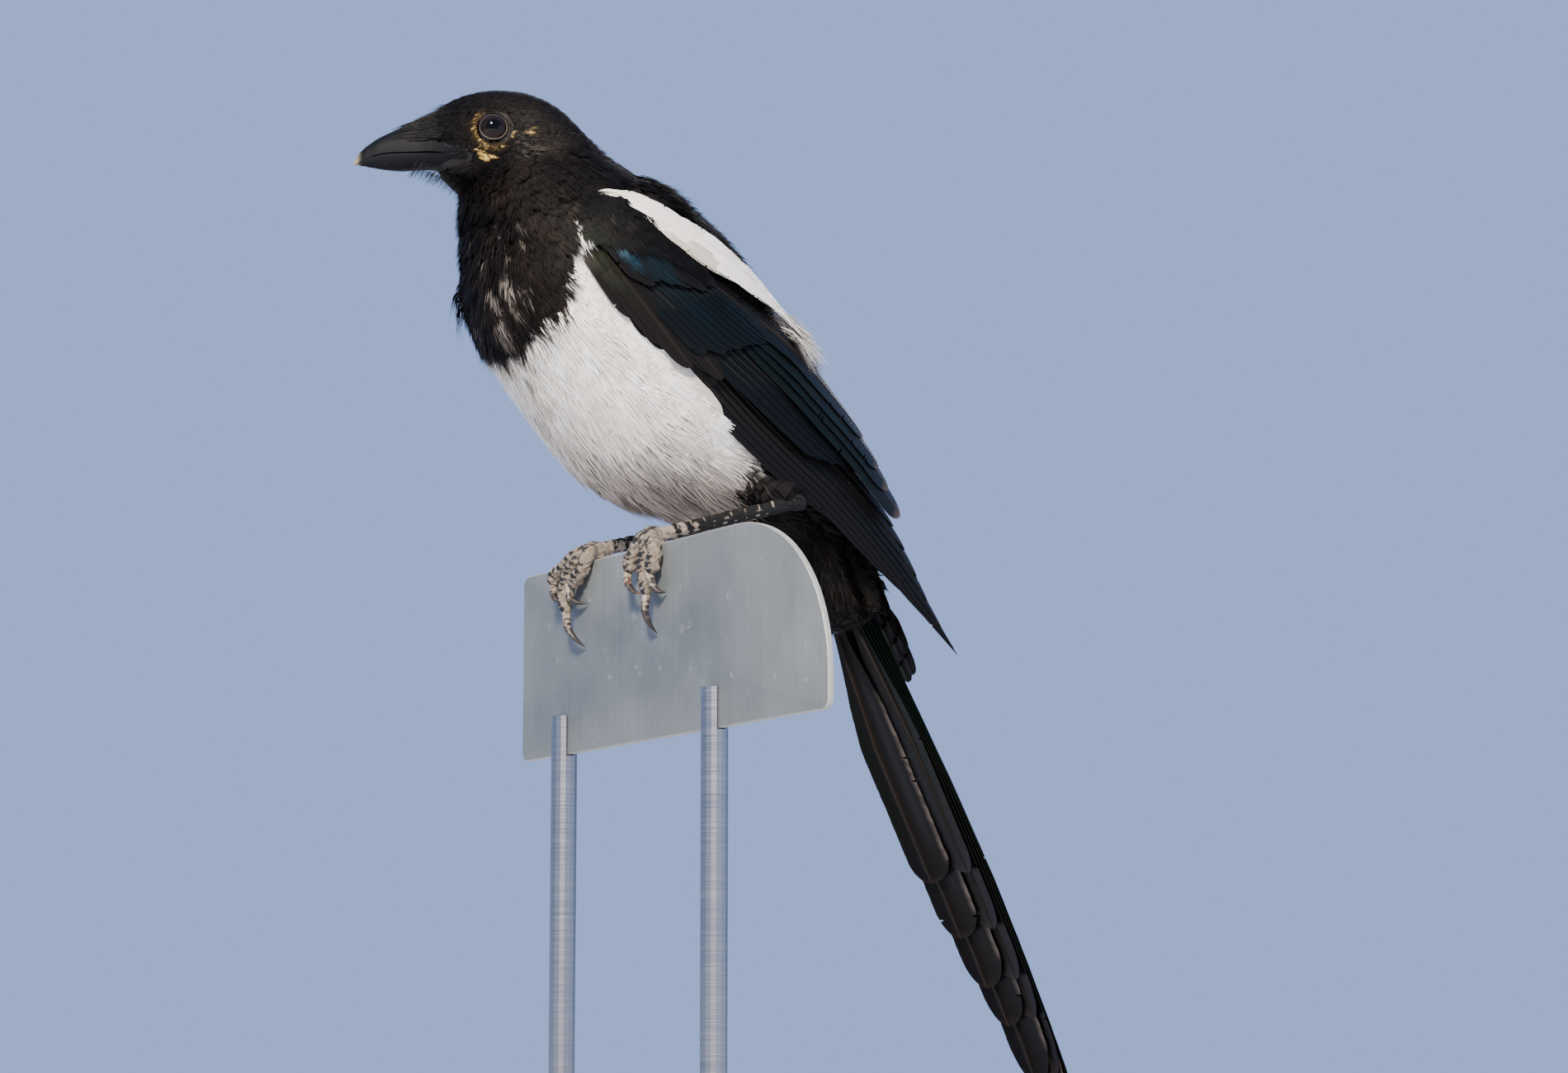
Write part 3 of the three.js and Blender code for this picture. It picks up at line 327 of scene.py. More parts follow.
DARK_STREAKS = [  # the same, of the loose black strands on the white belly
    (3.53, 167, 4.5, 1.3, 0.8), (3.65, 176, 5.5, 1.5, 0.8), (3.83, 178, 4.5, 1.2, 0.6),
    (2.95, 113, 3.2, 1.4, 0.8), (3.45, 186, 4.0, 1.2, 0.6),
]
DOWN_AND_SHADE_PATCHES = [  # the same, of the grey down that shows through it and of painted shade on the belly's lower side
    (5.18, 153, 8, 4, 0.6), (5.35, 171, 7, 5, 0.5), (5.03, 185, 9, 4, 0.6), (4.2, 192, 10, 5, 0.4),
    (6.2, 150, 9, 8, 0.5), (5.9, 172, 9, 7, 0.5), (4.6, 172, 8, 3, 0.3),
]
FOLD = np.array([  # angle off the back, and the trunk ring of the crease under the throat
    (95, 1.9), (101, 1.83), (114, 1.73), (133, 1.62), (142, 1.6), (155, 1.5), (168, 1.37), (180, 1.25),
])
FACE_SPOTS = [  # forward, up, size and strength of the yellow bristly places round the eye
    (13.3, 3.0, 0.7, 0.7), (12.9, 1.6, 0.8, 0.9), (13.1, 0.2, 0.7, 0.8), (12.5, -1.0, 0.8, 0.9),
    (11.9, -2.2, 0.8, 0.8), (11.2, -3.4, 0.9, 0.9), (10.2, -4.6, 1.0, 0.9), (9.0, -5.4, 0.8, 0.9),
    (6.9, -5.9, 0.6, 0.6), (4.6, -5.5, 0.8, 0.8), (15.2, -5.4, 0.6, 0.8), (1.5, -2.2, 0.6, 0.7),
    (0.9, -1.2, 0.6, 0.8), (-2.6, -1.6, 1.0, 0.8), (-3.6, -0.8, 1.1, 0.9), (-4.6, 0.1, 0.9, 0.7),
    (12.0, 4.6, 0.7, 0.4),
]
GAPE_SPOTS = [  # the same, of the bare orange skin at the corner of the mouth
    (11.9, -5.9, 0.6, 0.8), (10.9, -6.7, 0.8, 1.0), (9.9, -7.5, 1.0, 1.0), (8.8, -8.0, 1.1, 1.0),
    (7.7, -8.0, 0.8, 0.9), (6.9, -8.5, 0.7, 0.9), (9.2, -8.8, 0.6, 0.7),
]
BLACK = linear("#0d0b0a")
BROWN_BLACK = linear("#16110e")
WHITE = linear("#fbf4ea")
WARM_WHITE = linear("#dccbb7")
GREY_OF_DOWN_AND_SHADE = linear("#7d726a")
PALE_GREY = linear("#978d84")
BRISTLE_YELLOW = linear("#a78f58")
SKIN_ORANGE = linear("#ecc26c")


def waves(points, size, seed):
    """A smooth random value from -1 to 1, with waves of about that size."""
    draw = np.random.default_rng(seed)
    total = np.zeros(len(points))
    for _ in range(7):
        direction = draw.normal(size=3)
        direction *= 2 * math.pi / (size * np.linalg.norm(direction) * draw.uniform(0.7, 1.5))
        total += np.sin(points @ direction + draw.uniform(0, 2 * math.pi))
    return np.clip(total / 3.2, -1, 1)


def blend(tone, other, share):
    """A colour carried toward another by a share at each point."""
    return tone + (other - tone) * share[..., None]


def patches(points, marks, stray):
    """How far each point is in any of these long patches on the trunk, 0 to 1."""
    share = np.zeros(len(points))
    for ring, turn, long, wide, strength in marks:
        spots = ring_point(through(TRUNK, ring + np.array([-0.05, 0, 0.05])), np.full(3, -float(turn)), 0)
        long = 0.8 * long
        axis = unit(spots[2] - spots[0])
        near = np.flatnonzero(np.abs(points - spots[1]).max(1) < 1.3 * max(long, wide))
        off = points[near] - spots[1]
        along = off @ axis
        across = np.linalg.norm(off - along[:, None] * axis, axis=1)
        reach = np.hypot(along / long, across / wide) + 5 * stray[near]
        share[near] = np.maximum(share[near], strength * (1 - smoothstep(reach, 0.55, 1.1)))
    return share


def spotted(forward, up, spots):
    share = np.zeros(len(forward))
    for f, u, size, strength in spots:
        near = 1 - smoothstep(np.hypot(forward - f, up - u), 0.5 * size, size)
        share = np.maximum(share, strength * near)
    return share


def plumage(points, head, stray=None):
    """The colour of the plumage at points on the body; stray moves each point's edges a little."""
    stray = np.zeros(len(points)) if stray is None else stray
    place, angle = trunk_place(points)
    edge = read_off(BIB_EDGE, 180 - angle)
    ragged = 0.04 * waves(points, 7, 3) + 0.03 * waves(points, 2.5, 4) + stray
    white = smoothstep(place - edge + ragged, -0.03, 0.05)
    white *= smoothstep(VENT_EDGE - place + 2 * ragged, -0.06, 0.14)
    white *= smoothstep(angle + 40 * ragged, 94, 100)
    white *= 1 - smoothstep(place + 1.2 * ragged, 5.8, 6.4) * smoothstep(165 - angle, 0, 14)
    rump = (smoothstep(place + ragged, 4.98, 5.12) * smoothstep(5.7 - place, 0, 0.15)
            * smoothstep(56 - angle, 0, 8))
    white = np.maximum(white, 0.8 * rump)
    white *= 1 - smoothstep(head, 0.2, 0.5)
    knee, shin = KNEE * (1, 0, 1), (HEEL - KNEE) * (1, 0, 1)
    flank = points * (1, 0, 1) - knee
    down_thigh = (flank @ shin) / (shin @ shin)
    off_thigh = np.linalg.norm(flank - np.clip(down_thigh, 0, 1.3)[:, None] * shin, axis=1)
    thigh = (smoothstep(down_thigh + 2 * ragged, -0.15, 0.4) * (1 - smoothstep(off_thigh, 9, 12))
             * smoothstep(angle, 100, 112))
    white *= 1 - thigh * smoothstep(np.abs(points[:, 1]), 10, 16)
    # Painted shade: the white turns warm over the lower belly, which is turned from the light; broad random
    # waves warm it elsewhere.
    low = smoothstep(place, 4.2, 6.4) * smoothstep(angle, 110, 150)
    shade = np.clip(0.75 * low + 0.22 * waves(points, 16, 5) + 0.1 * waves(points, 3, 15) + 0.1, 0, 1)
    # Painted light: along the belly's middle the white is painted warm, standing in for warm light where
    # only the cool sky reaches.
    middle = 0.8 * smoothstep(angle, 160, 178) * smoothstep(waves(points, 5, 16), -0.8, 0.6)
    shade = np.maximum(shade, middle)
    pale = blend(WHITE, WARM_WHITE, shade)
    # Painted shade in grey patches over the lower belly, and the grey down that shows through the white in
    # places.
    lower_belly_shade = 0.35 * smoothstep(waves(points, 9, 6), 0.25, 0.9) * low
    grey_down_and_shade = np.maximum(patches(points, DOWN_AND_SHADE_PATCHES, stray), lower_belly_shade)
    # Painted shade: under the lower belly, away from the light, the white is carried most of the way to
    # grey.
    under = smoothstep(place, 4.0, 5.4) * smoothstep(angle, 114, 160)
    grey_down_and_shade = np.maximum(grey_down_and_shade, under * (0.86 + 0.18 * waves(points, 5, 17)))
    pale = blend(pale, GREY_OF_DOWN_AND_SHADE, grey_down_and_shade)
    pale = blend(pale, BROWN_BLACK, patches(points, DARK_STREAKS, 2 * stray))
    dark = blend(BLACK, BROWN_BLACK, smoothstep(waves(points, 12, 7) + 6 * stray, -0.5, 0.9))
    mottle = patches(points, MOTTLES, stray) * smoothstep(waves(points, 1.4, 8) + 18 * stray, -0.7, 0.5)
    dark = blend(dark, PALE_GREY, 0.75 * mottle * (1 - head))
    # Painted shade: a dark line along the crease under the throat.
    fold = np.exp(-((place - read_off(FOLD, angle)) / 0.035) ** 2) * (angle > 98)
    dark = dark * (1 - 0.5 * fold * (1 - head))[:, None]
    forward, right, up = head_place(points)
    # Painted sheen: pale grey streaks where light catches the cheek behind and below the eye.
    down_cheek = (-forward - 4.5) * 0.75 - (up + 7.5) * 0.66
    over_cheek = (-forward - 4.5) * 0.66 + (up + 7.5) * 0.75
    cheek = head * np.exp(-(down_cheek / 5.5) ** 2 - (over_cheek / 3.2) ** 2) * (np.abs(right) > 8)
    sheen = cheek * smoothstep(waves(points, 1.5, 9) + 12 * stray, -0.2, 0.9)
    dark = blend(dark, PALE_GREY, 0.3 * sheen)
    off_eye = np.hypot(forward - 6.9, up - 0.3)
    ring = (head * (1 - smoothstep(off_eye, 5.5, 8.0)) * smoothstep(forward - 0.6 * up, 4, 9)
            * (np.abs(right) > 8))
    dark = blend(dark, linear("#4d3c20"), 0.55 * ring)
    fuzzy = 0.3 + 0.7 * waves(points, 0.9, 10) + 12 * stray
    spots = spotted(forward, up, FACE_SPOTS) * smoothstep(fuzzy, 0.1, 0.6) * (np.abs(right) > 8) * head
    dark = blend(dark, BRISTLE_YELLOW, spots)
    worn_gape = 0.35 * waves(points, 1.3, 11)
    gape = (spotted(forward + 12 * stray + worn_gape, up - worn_gape, GAPE_SPOTS) * (np.abs(right) > 8)
            * head)
    dark = blend(dark, SKIN_ORANGE, gape)
    return blend(dark, pale, white)


# The hollow that the folded wing lies in: trunk rings, angles off the back and depth.
WING_BED = {"front": 2.1, "back": 6.3, "high": 52, "low": 108, "deep": 5.0}


def trunk_skin():
    places, angles = np.meshgrid(np.linspace(0, len(TRUNK) - 1, 90),
                                 np.linspace(0, 360, 96, endpoint=False), indexing="ij")
    off_back = np.where(angles > 180, 360 - angles, angles)
    bed = (smoothstep(places, WING_BED["front"], WING_BED["front"] + 0.5)
           * smoothstep(off_back, WING_BED["high"], WING_BED["high"] + 8))
    bed *= 1 - smoothstep(off_back, WING_BED["low"] - 8, WING_BED["low"])
    return lofted(ring_point(through(TRUNK, places), angles, -COAT_DEPTH - WING_BED["deep"] * bed))


def skull_ring(station, turn, lift):
    middle = (station[..., 1] + station[..., 2]) / 2
    high = (station[..., 1] - station[..., 2]) / 2 + lift
    return head_point(station[..., 0], (station[..., 3] + lift) * np.sin(turn),
                      middle + high * np.cos(turn))


def skull_skin():
    places, turns = np.meshgrid(np.linspace(0, len(SKULL) - 1, 48),
                                np.linspace(0, 2 * math.pi, 64, endpoint=False), indexing="ij")
    station = through(SKULL, places)
    return lofted(skull_ring(station, turns, -FACE_DEPTH - 0.9 * smoothstep(station[..., 0], 19, 25)))


def limb(path, radii, sides=16, steps=24):
    """A round form along a smooth path, with a radius at each of the path's points."""
    path, radii = np.asarray(path, float), np.asarray(radii, float)
    at = np.linspace(0, len(path) - 1, steps)
    middles = through(path, at)
    widths = np.interp(at, np.linspace(0, len(path) - 1, len(radii)), radii)
    ahead = np.gradient(middles, axis=0)
    ahead /= np.linalg.norm(ahead, axis=1)[:, None]
    across = np.cross(ahead, np.array([0.0, 0.0, 1.0]))
    across /= np.linalg.norm(across, axis=1)[:, None]
    up = np.cross(across, ahead)
    turn = np.linspace(0, 2 * math.pi, sides, endpoint=False)[None, :, None]
    round_it = across[:, None] * np.cos(turn) + up[:, None] * np.sin(turn)
    return lofted(middles[:, None] + widths[:, None, None] * round_it)


def thigh_skin(side):
    knee, heel = KNEE * (1, side, 1), HEEL * (1, side, 1)
    end = heel + 0.1 * (knee - heel)
    return limb([knee, (knee + end) / 2, end], [6.0, 4.2, 2.4])


# Down close to the skin: a dull felt that closes the gaps between the feathers, painted darker than they
# are as the shade in those gaps.
skin_finish = painted_finish("feather_down_skin", 0.9)

skin_points, skin_faces = merged([trunk_skin(), skull_skin(), thigh_skin(-1), thigh_skin(1)])
skin = mesh_piece("skin", skin_points, skin_faces, skin_finish)
union = skin.modifiers.new("one_hide", "REMESH")
union.mode = "VOXEL"
union.voxel_size = HIDE_GRAIN * MM
union.use_smooth_shade = True
soften = skin.modifiers.new("soften", "SMOOTH")
soften.factor = 0.6
soften.iterations = 8
settled(skin)
skin_places, skin_normals = corners_of(skin)
# The hide takes the plumage's colours at 0.6 of their strength: painted shade in the gaps of the coat.
paint(skin, "plumage", 0.6 * plumage(skin_places, head_share(skin_places)))
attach(skin, "root")
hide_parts("head", "neck", "breast", "belly", "back", "vent", "thigh_left", "thigh_right")

# Coat. The small feathers of the head and body: each is a fan of tapered barb clumps from one root in
# the skin, laid back over the next, short and firm on the face and long and loose on the belly.
EYE = {"forward": 6.9, "right": 12.5, "up": 0.3, "radius": 5.0}
BILL_ROOT = head_point(30, 0, -4)
FEATHER_LENGTHS = [5.0, 5.5, 7.0, 9.0, 14.0, 17.0, 17.0, 14.0, 12.0, 8.0]  # by trunk ring
BARBS = {"head": 7, "neck": 10, "back": 8, "vent": 9, "bib": 12, "belly": 12}  # in one feather
ROOTS_TRIED = 260000  # random places, of which those that stand too close to another are dropped
BAKE_PATCH = 0.003  # width of each feather's patch in the unwrap for baking
BRIGHTEST = 0.92  # no plumage is whiter than this
BLADE_FACES = np.array([
    (0, 1, 4), (0, 4, 3), (1, 2, 5), (1, 5, 4), (2, 0, 3), (2, 3, 5), (3, 4, 6), (4, 5, 6), (5, 3, 6),
    (0, 2, 1),
])

# Loose barbs: nearly no shine, so that the black stays deep and the white soft, each blade its own tone.
plume_finish = painted_finish("small_feather_barbs", 0.62, Specular_IOR_Level=0.13)


def skin_samples(count, seed):
    """Even random points over the skin, with the skin's normals there."""
    skin.data.calc_loop_triangles()
    corners = np.empty(len(skin.data.loop_triangles) * 3, np.int32)
    skin.data.loop_triangles.foreach_get("vertices", corners)
    a, b, c = (skin_places[corners.reshape(-1, 3)[:, k]] for k in range(3))
    area = np.linalg.norm(np.cross(b - a, c - a), axis=1)
    draw = np.random.default_rng(seed)
    chosen = draw.choice(len(area), count, p=area / area.sum())
    s, t = draw.random((2, count))
    s, t = np.where(s + t > 1, 1 - s, s), np.where(s + t > 1, 1 - t, t)
    weights = np.stack([1 - s - t, s, t], -1)[..., None]
    ids = corners.reshape(-1, 3)[chosen]
    normals = (skin_normals[ids] * weights).sum(1)
    return (skin_places[ids] * weights).sum(1), normals / np.linalg.norm(normals, axis=1)[:, None]


def thinned(points, spacing):
    """The points that stay when no two may share a cell as wide as their spacing."""
    kept = []
    steps = np.round(np.log(spacing) / 0.15).astype(int)
    for step in np.unique(steps):
        ids = np.flatnonzero(steps == step)
        cells = np.floor(points[ids] / math.exp(0.15 * step)).astype(int)
        kept.append(ids[np.unique(cells, axis=0, return_index=True)[1]])
    return np.sort(np.concatenate(kept))


def unwrapped(points, head, place, angle):
    """Each point's place on the skin laid flat: the trunk slit along its belly, the head beside it."""
    turn = np.sign(points[:, 1]) * angle / 180
    trunk = np.stack([0.33 + 0.31 * turn, 0.02 + 0.96 * np.clip(place, 0, 9) / 9], -1)
    forward, right, up = head_place(points)
    around = np.arctan2(right, up + 2) / math.pi
    skull = np.stack([0.83 + 0.15 * around, 0.02 + 0.6 * np.clip((forward + 26) / 54, 0, 1)], -1)
    return np.where((head > 0.5)[:, None], skull, trunk)


skin_tree_of_faces = BVHTree.FromObject(skin, bpy.context.evaluated_depsgraph_get())


def on_skin(points, faces):
    """The nearest points of a surface's faces and its normals there."""
    found = [faces.find_nearest(Vector(BIRD_AT + p * MM)) for p in points]
    places = np.array([hit[0] for hit in found])
    return (places - BIRD_AT) / MM, np.array([hit[1] for hit in found])


def lie(points, normals, head, place):
    """The way the plumage lies: back from the bill over the head, and along the trunk."""
    slope = np.radians(through(TRUNK, np.clip(place, 0, 9))[:, 2])
    back = np.stack([np.cos(slope), np.zeros(len(points)), -np.sin(slope)], -1)
    back[:, 1] += 0.10 * np.sign(points[:, 1]) * smoothstep(place, 1.5, 4)
    flow = head[:, None] * unit(points - BILL_ROOT) + (1 - head)[:, None] * back
    flow = unit(flow - normals * (flow * normals).sum(1)[:, None])
    across = np.cross(flow, normals)
    swirl = 0.22 * waves(points, 14, 21) + 0.16 * waves(points, 5, 22)
    return unit(flow + across * swirl[:, None])


def feathers(roots, normals, flow, length, depth, barbs, seed, faces):
    """Blades of every feather, seven corner points each, and which side of its feather each barb is on."""
    draw = np.random.default_rng(seed)
    count = len(roots)
    across = np.cross(flow, normals)
    mid_skin, mid_normal = on_skin(roots + flow * (0.5 * length)[:, None], faces)
    tip_skin, tip_normal = on_skin(roots + flow * length[:, None], faces)
    mid = mid_skin + mid_normal * (0.72 * depth)[:, None]
    tip = tip_skin + tip_normal * depth[:, None]
    side = np.linspace(-1, 1, barbs)[None] + draw.uniform(-0.12, 0.12, (count, barbs))
    reach = 1 - 0.32 * side ** 2 + draw.uniform(-0.12, 0.12, (count, barbs))
    wisp = draw.random((count, barbs)) < 0.1
    reach = reach + 0.3 * wisp
    spread = 0.26 * length[:, None] * side
    width = (np.clip(0.035 * length + 0.05, 0.14, 0.36)[:, None] * draw.uniform(0.75, 1.2, (count, barbs))
             * (1 - 0.4 * wisp))
    lift = depth[:, None] * draw.uniform(-0.2, 0.14, (count, barbs))

    def moved(place, sideways, upward, up):
        return place[:, None] + across[:, None] * sideways[..., None] + up[:, None] * upward[..., None]

    base = moved(roots, 0.2 * spread, np.full_like(side, -0.3), normals)
    middle = moved(mid, 0.85 * spread, lift * 0.5, mid_normal)
    end = mid[:, None] + (tip - mid)[:, None] * (2 * reach - 1)[..., None]
    end = (end + across[:, None] * (spread * draw.uniform(0.85, 1.15, side.shape))[..., None]
           + tip_normal[:, None] * lift[..., None])
    edge = across[:, None] * width[..., None]
    keel = normals[:, None] * (0.5 * width)[..., None]
    corners = [base - 0.6 * edge, base + 0.6 * edge, base - keel, middle - edge, middle + edge,
               middle - keel, end]
    return np.stack(corners, 2), side


def coat_piece(name, roots, normals, flow, length, depth, barbs, seed, faces=skin_tree_of_faces,
               colours=None):
    head = head_share(roots)
    place, angle = trunk_place(roots)
    blades, side = feathers(roots, normals, flow, length, depth, barbs, seed, faces)
    count = len(roots) * barbs
    corners = (BLADE_FACES[None] + 7 * np.arange(count)[:, None, None]).reshape(-1, 3)
    piece = mesh_piece(name, blades.reshape(-1, 3), corners, plume_finish, smooth=False)
    seen = blades[:, :, 3:5].mean(2).reshape(-1, 3)
    draw = np.random.default_rng(seed + 1)
    stray = (draw.normal(0, 0.02, (len(roots), 1)) + draw.normal(0, 0.025, (len(roots), barbs))).ravel()
    # Painted shade and light along each blade: darker at its root and keel, where blades lie under one
    # another, and a little lighter at its tip.
    out = np.array([0.6, 0.6, 0.55, 0.94, 0.94, 0.85, 1.1])
    colour = plumage(seen, head_share(seen), stray) if colours is None else colours(seen, stray)
    colour = colour.reshape(len(roots), barbs, 3)
    spread = np.where(colour.mean(-1) < 0.1, 0.3, 0.18)
    uneven = draw.normal(0, 0.6, (len(roots), 1)) + draw.normal(0, 1.0, (len(roots), barbs))
    tone = np.exp(spread * uneven)
    shade = colour[:, :, None, :] * tone[..., None, None] * out[:, None]
    paint(piece, "plumage", np.clip(shade, 0, BRIGHTEST).reshape(-1, 3))
    along = np.array([-0.5, -0.5, -0.5, 0, 0, 0, 0.5])
    inside = np.stack(np.broadcast_arrays(0.45 * side[..., None] + 0.0 * out, along), -1)
    flat = unwrapped(roots, head, place, angle)[:, None, None, :] + BAKE_PATCH * inside
    layer = piece.data.uv_layers.new(name="OFBake")
    layer.data.foreach_set("uv", flat.reshape(-1, 2)[corners.ravel()].astype(np.float32).ravel())
    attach(piece, "root")
    return piece


BARE_HORN = np.array([  # up, and the forward place beyond which the side of the bill's root is bare
    (-10.2, 25), (-9.6, 14.2), (-8, 13.4), (-6.2, 13.2), (-4.9, 15.9), (-3.8, 17.2), (-3.2, 20),
    (-2.0, 23.8), (-0.5, 26),
])
roots, root_normals = skin_samples(ROOTS_TRIED, 31)
head = head_share(roots)
place, angle = trunk_place(roots)
forward, right, up = head_place(roots)
off_bill = np.linalg.norm(roots - BILL_ROOT, axis=1)
length = head * (1.5 + 0.075 * off_bill) + (1 - head) * np.interp(place, range(10), FEATHER_LENGTHS)
length *= 1 - 0.25 * (1 - head) * smoothstep(60 - angle, -10, 10)
to_eye = np.stack([forward - EYE["forward"], np.abs(right) - EYE["right"] - 2.5, up - EYE["up"]])
off_eye = np.linalg.norm(to_eye, axis=0)
length *= 1 - 0.45 * head * (1 - smoothstep(off_eye, 6, 10))
bare = (off_eye < 5.0) & (head > 0.5) | (forward > read_off(BARE_HORN, up))
bare |= (forward > 25.2) | (place > 8.9) & (head < 0.5)
bare |= (spotted(forward, up, GAPE_SPOTS) > 0.3) & (np.abs(right) > 8) & (head > 0.5)
wing_edge = np.interp(place, [2.3, 2.7, 5.2, 5.9, 6.3], [104, 115, 115, 112, 106])
under_wing = ((place > 2.5) & (place < 6.2) & (angle > WING_BED["high"] + 9) & (angle < wing_edge)
              & (head < 0.1))
kept = np.flatnonzero(~bare & ~under_wing)
front_side = smoothstep(angle, 60, 90) * smoothstep(place, 2.0, 2.5) * (1 - smoothstep(place, 6.0, 6.6))
gap = (0.5 + 0.125 * length) * (1 + 0.2 * (1 - head) * (1 - front_side))
kept = kept[thinned(roots[kept], gap[kept])]
candidates = (roots, root_normals, head, place, angle, length, forward, up)
roots, root_normals, head, place, angle, length, forward, up = (values[kept] for values in candidates)
flow = lie(roots, root_normals, head, place)
draw = np.random.default_rng(32)
depth = (FACE_DEPTH * head + COAT_DEPTH * (1 - head)) * draw.uniform(0.8, 1.15, len(roots))
fold = np.exp(-((place - 0.04 - read_off(FOLD, angle)) / 0.08) ** 2) * (angle > 98) * (1 - head)
depth *= 1 - 0.5 * fold
beard = head * smoothstep(forward, 2, 12) * (1 - smoothstep(forward, 24, 27)) * smoothstep(-up, 10.5, 14)
front = (1 - head) * smoothstep(angle, 135, 155) * (1 - smoothstep(place, 3.0, 3.4))
mantle = ((1 - head) * smoothstep(place, 2.1, 2.9) * (1 - 0.55 * smoothstep(place, 2.6, 3.3))
          * (1 - smoothstep(place, 4.0, 4.8)))
mantle *= 1 - smoothstep(angle, 36, 54)
rump = ((1 - head) * smoothstep(place, 4.7, 5.0) * (1 - smoothstep(place, 5.2, 5.55))
        * (1 - smoothstep(angle, 44, 54)))
loose = (np.exp(-((place - 2.52) / 0.14) ** 2 - ((angle - 151) / 5) ** 2) * (roots[:, 1] > 0)
         * (draw.random(len(roots)) < 0.5))
nape = ((1 - head) * smoothstep(place, 0.9, 1.4) * (1 - smoothstep(place, 2.15, 2.4))
        * (1 - smoothstep(angle, 50, 75)))
depth += 3.0 * beard + 1.8 * front + 3.2 * mantle + 5.0 * rump + 5.0 * loose - 2.0 * nape
length = length + 2.5 * beard + 3 * rump + 5 * loose
tucked = ((1 - smoothstep(angle, wing_edge[kept] + 4, wing_edge[kept] + 19)) * smoothstep(place, 2.4, 2.7)
          * (place < 6.4) * (head < 0.1))
depth *= 1 - 0.8 * tucked * (angle > 95)
length *= 1 - 0.4 * tucked * (angle > 95)
downy = (1 - head) * smoothstep(place, 3.8, 5.0) * (place < 6.5) * smoothstep(angle, 120, 150)
length = length * (1 + draw.uniform(-1, 1, len(roots)) * (0.15 + 0.2 * downy))
depth = depth * (1 + downy * draw.uniform(-0.3, 0.7, len(roots)))
regions = {
    "head": head > 0.5,
    "neck": (head <= 0.5) & (place < 2.2),
    "back": (head <= 0.5) & (place >= 2.2) & (angle < 58),
    "vent": (head <= 0.5) & (place >= 6.4) & (angle >= 58),
    "bib": (head <= 0.5) & (place >= 2.2) & (place < 3.5) & (angle >= 58),
    "belly": (head <= 0.5) & (place >= 3.5) & (place < 6.4) & (angle >= 58),
}
for number, (name, inside) in enumerate(regions.items()):
    for turn, side in enumerate(("left", "right")):
        ids = np.flatnonzero(inside & ((roots[:, 1] >= 0) == bool(turn)))
        coat_piece("coat_%s_%s" % (name, side), roots[ids], root_normals[ids], flow[ids], length[ids],
                   depth[ids], BARBS[name], 40 + 2 * number + turn)

# Wings. Folded over the flanks: an arm, then the quills and their coverts in tiers, each feather a thin
# two-faced vane on its shaft, laid so that its outer web covers the inner web of the one below it.
WING_SINK = 4.0  # from the feathered outline down to the sheet that the wing lies in
SHEET = np.array([
    (-24.2, 100.5, 57, 29.5, 29.5, 28),
    (-15.1, 85, 52, 36.5, 37, 35.5),
    (2.4, 66.5, 44, 40.5, 41, 39),
    (22.5, 47.6, 40, 39.5, 40, 39),
    (44, 31, 38, 34.5, 34, 35),
    (65, 17, 37, 28.5, 28, 30),
    (89, -1, 39, 20.5, 22, 23.5),
    (105, -14, 41, 13, 14, 17.5),
    (120, -27.5, 43, 6, 6, 13.5),
])
SHEET_MARKS = np.concatenate([[0], np.cumsum(np.hypot(np.diff(SHEET[:, 0]), np.diff(SHEET[:, 1])))])
SHOULDER = [86, 77, 75, 70, 62, 51]  # angle between wing and shoulder feathers, at each step along
SHOULDER_STEP = 14.0
PRIMARY_TIPS = [130, 166, 182, 194, 191.5, 183, 173, 164, 155, 147]  # outermost first
RIGHT_WING_REACH = 0.9  # the right wing is folded closer
SIDES = {"left": -1, "right": 1}


def sheet_station(along):
    k = np.clip(np.searchsorted(SHEET_MARKS, along) - 1, 0, len(SHEET_MARKS) - 2)
    return through(SHEET, k + (along - SHEET_MARKS[k]) / (SHEET_MARKS[k + 1] - SHEET_MARKS[k]))


def sheet_point(along, angle, side, lift):
    points = ring_point(sheet_station(along), angle, lift - WING_SINK)
    return points * (1, side, 1)


def grid_quads(number):
    """The quads between the vertex numbers of a grid."""
    return np.stack([number[:-1, :-1], number[1:, :-1], number[1:, 1:], number[:-1, 1:]], -1).reshape(-1, 4)


def slab(upper, lower):
    """Points and quads of a closed sheet between two grids."""
    rows, columns = upper.shape[:2]
    number = np.arange(rows * columns).reshape(rows, columns)
    top = grid_quads(number)
    below = top[:, ::-1] + rows * columns
    rim = np.concatenate([number[0, :-1], number[:-1, -1], number[-1, :0:-1], number[:0:-1, 0]])
    after = np.roll(rim, -1)
    walls = np.stack([rim, after, after + rows * columns, rim + rows * columns], -1)[:, ::-1]
    points = np.concatenate([upper.reshape(-1, 3), lower.reshape(-1, 3)])
    return points, np.concatenate([top, below, walls[:, ::-1]])


def outlined(f, point, root_width):
    """Width of a vane along its length: narrow at the root and round or pointed at the tip."""
    tip = np.sqrt(np.clip(1 - (np.clip(f - point, 0, 1) / (1 - point)) ** 2, 0, 1))
    return np.maximum(0.04, np.minimum(1, root_width + 1.8 * f) * tip)


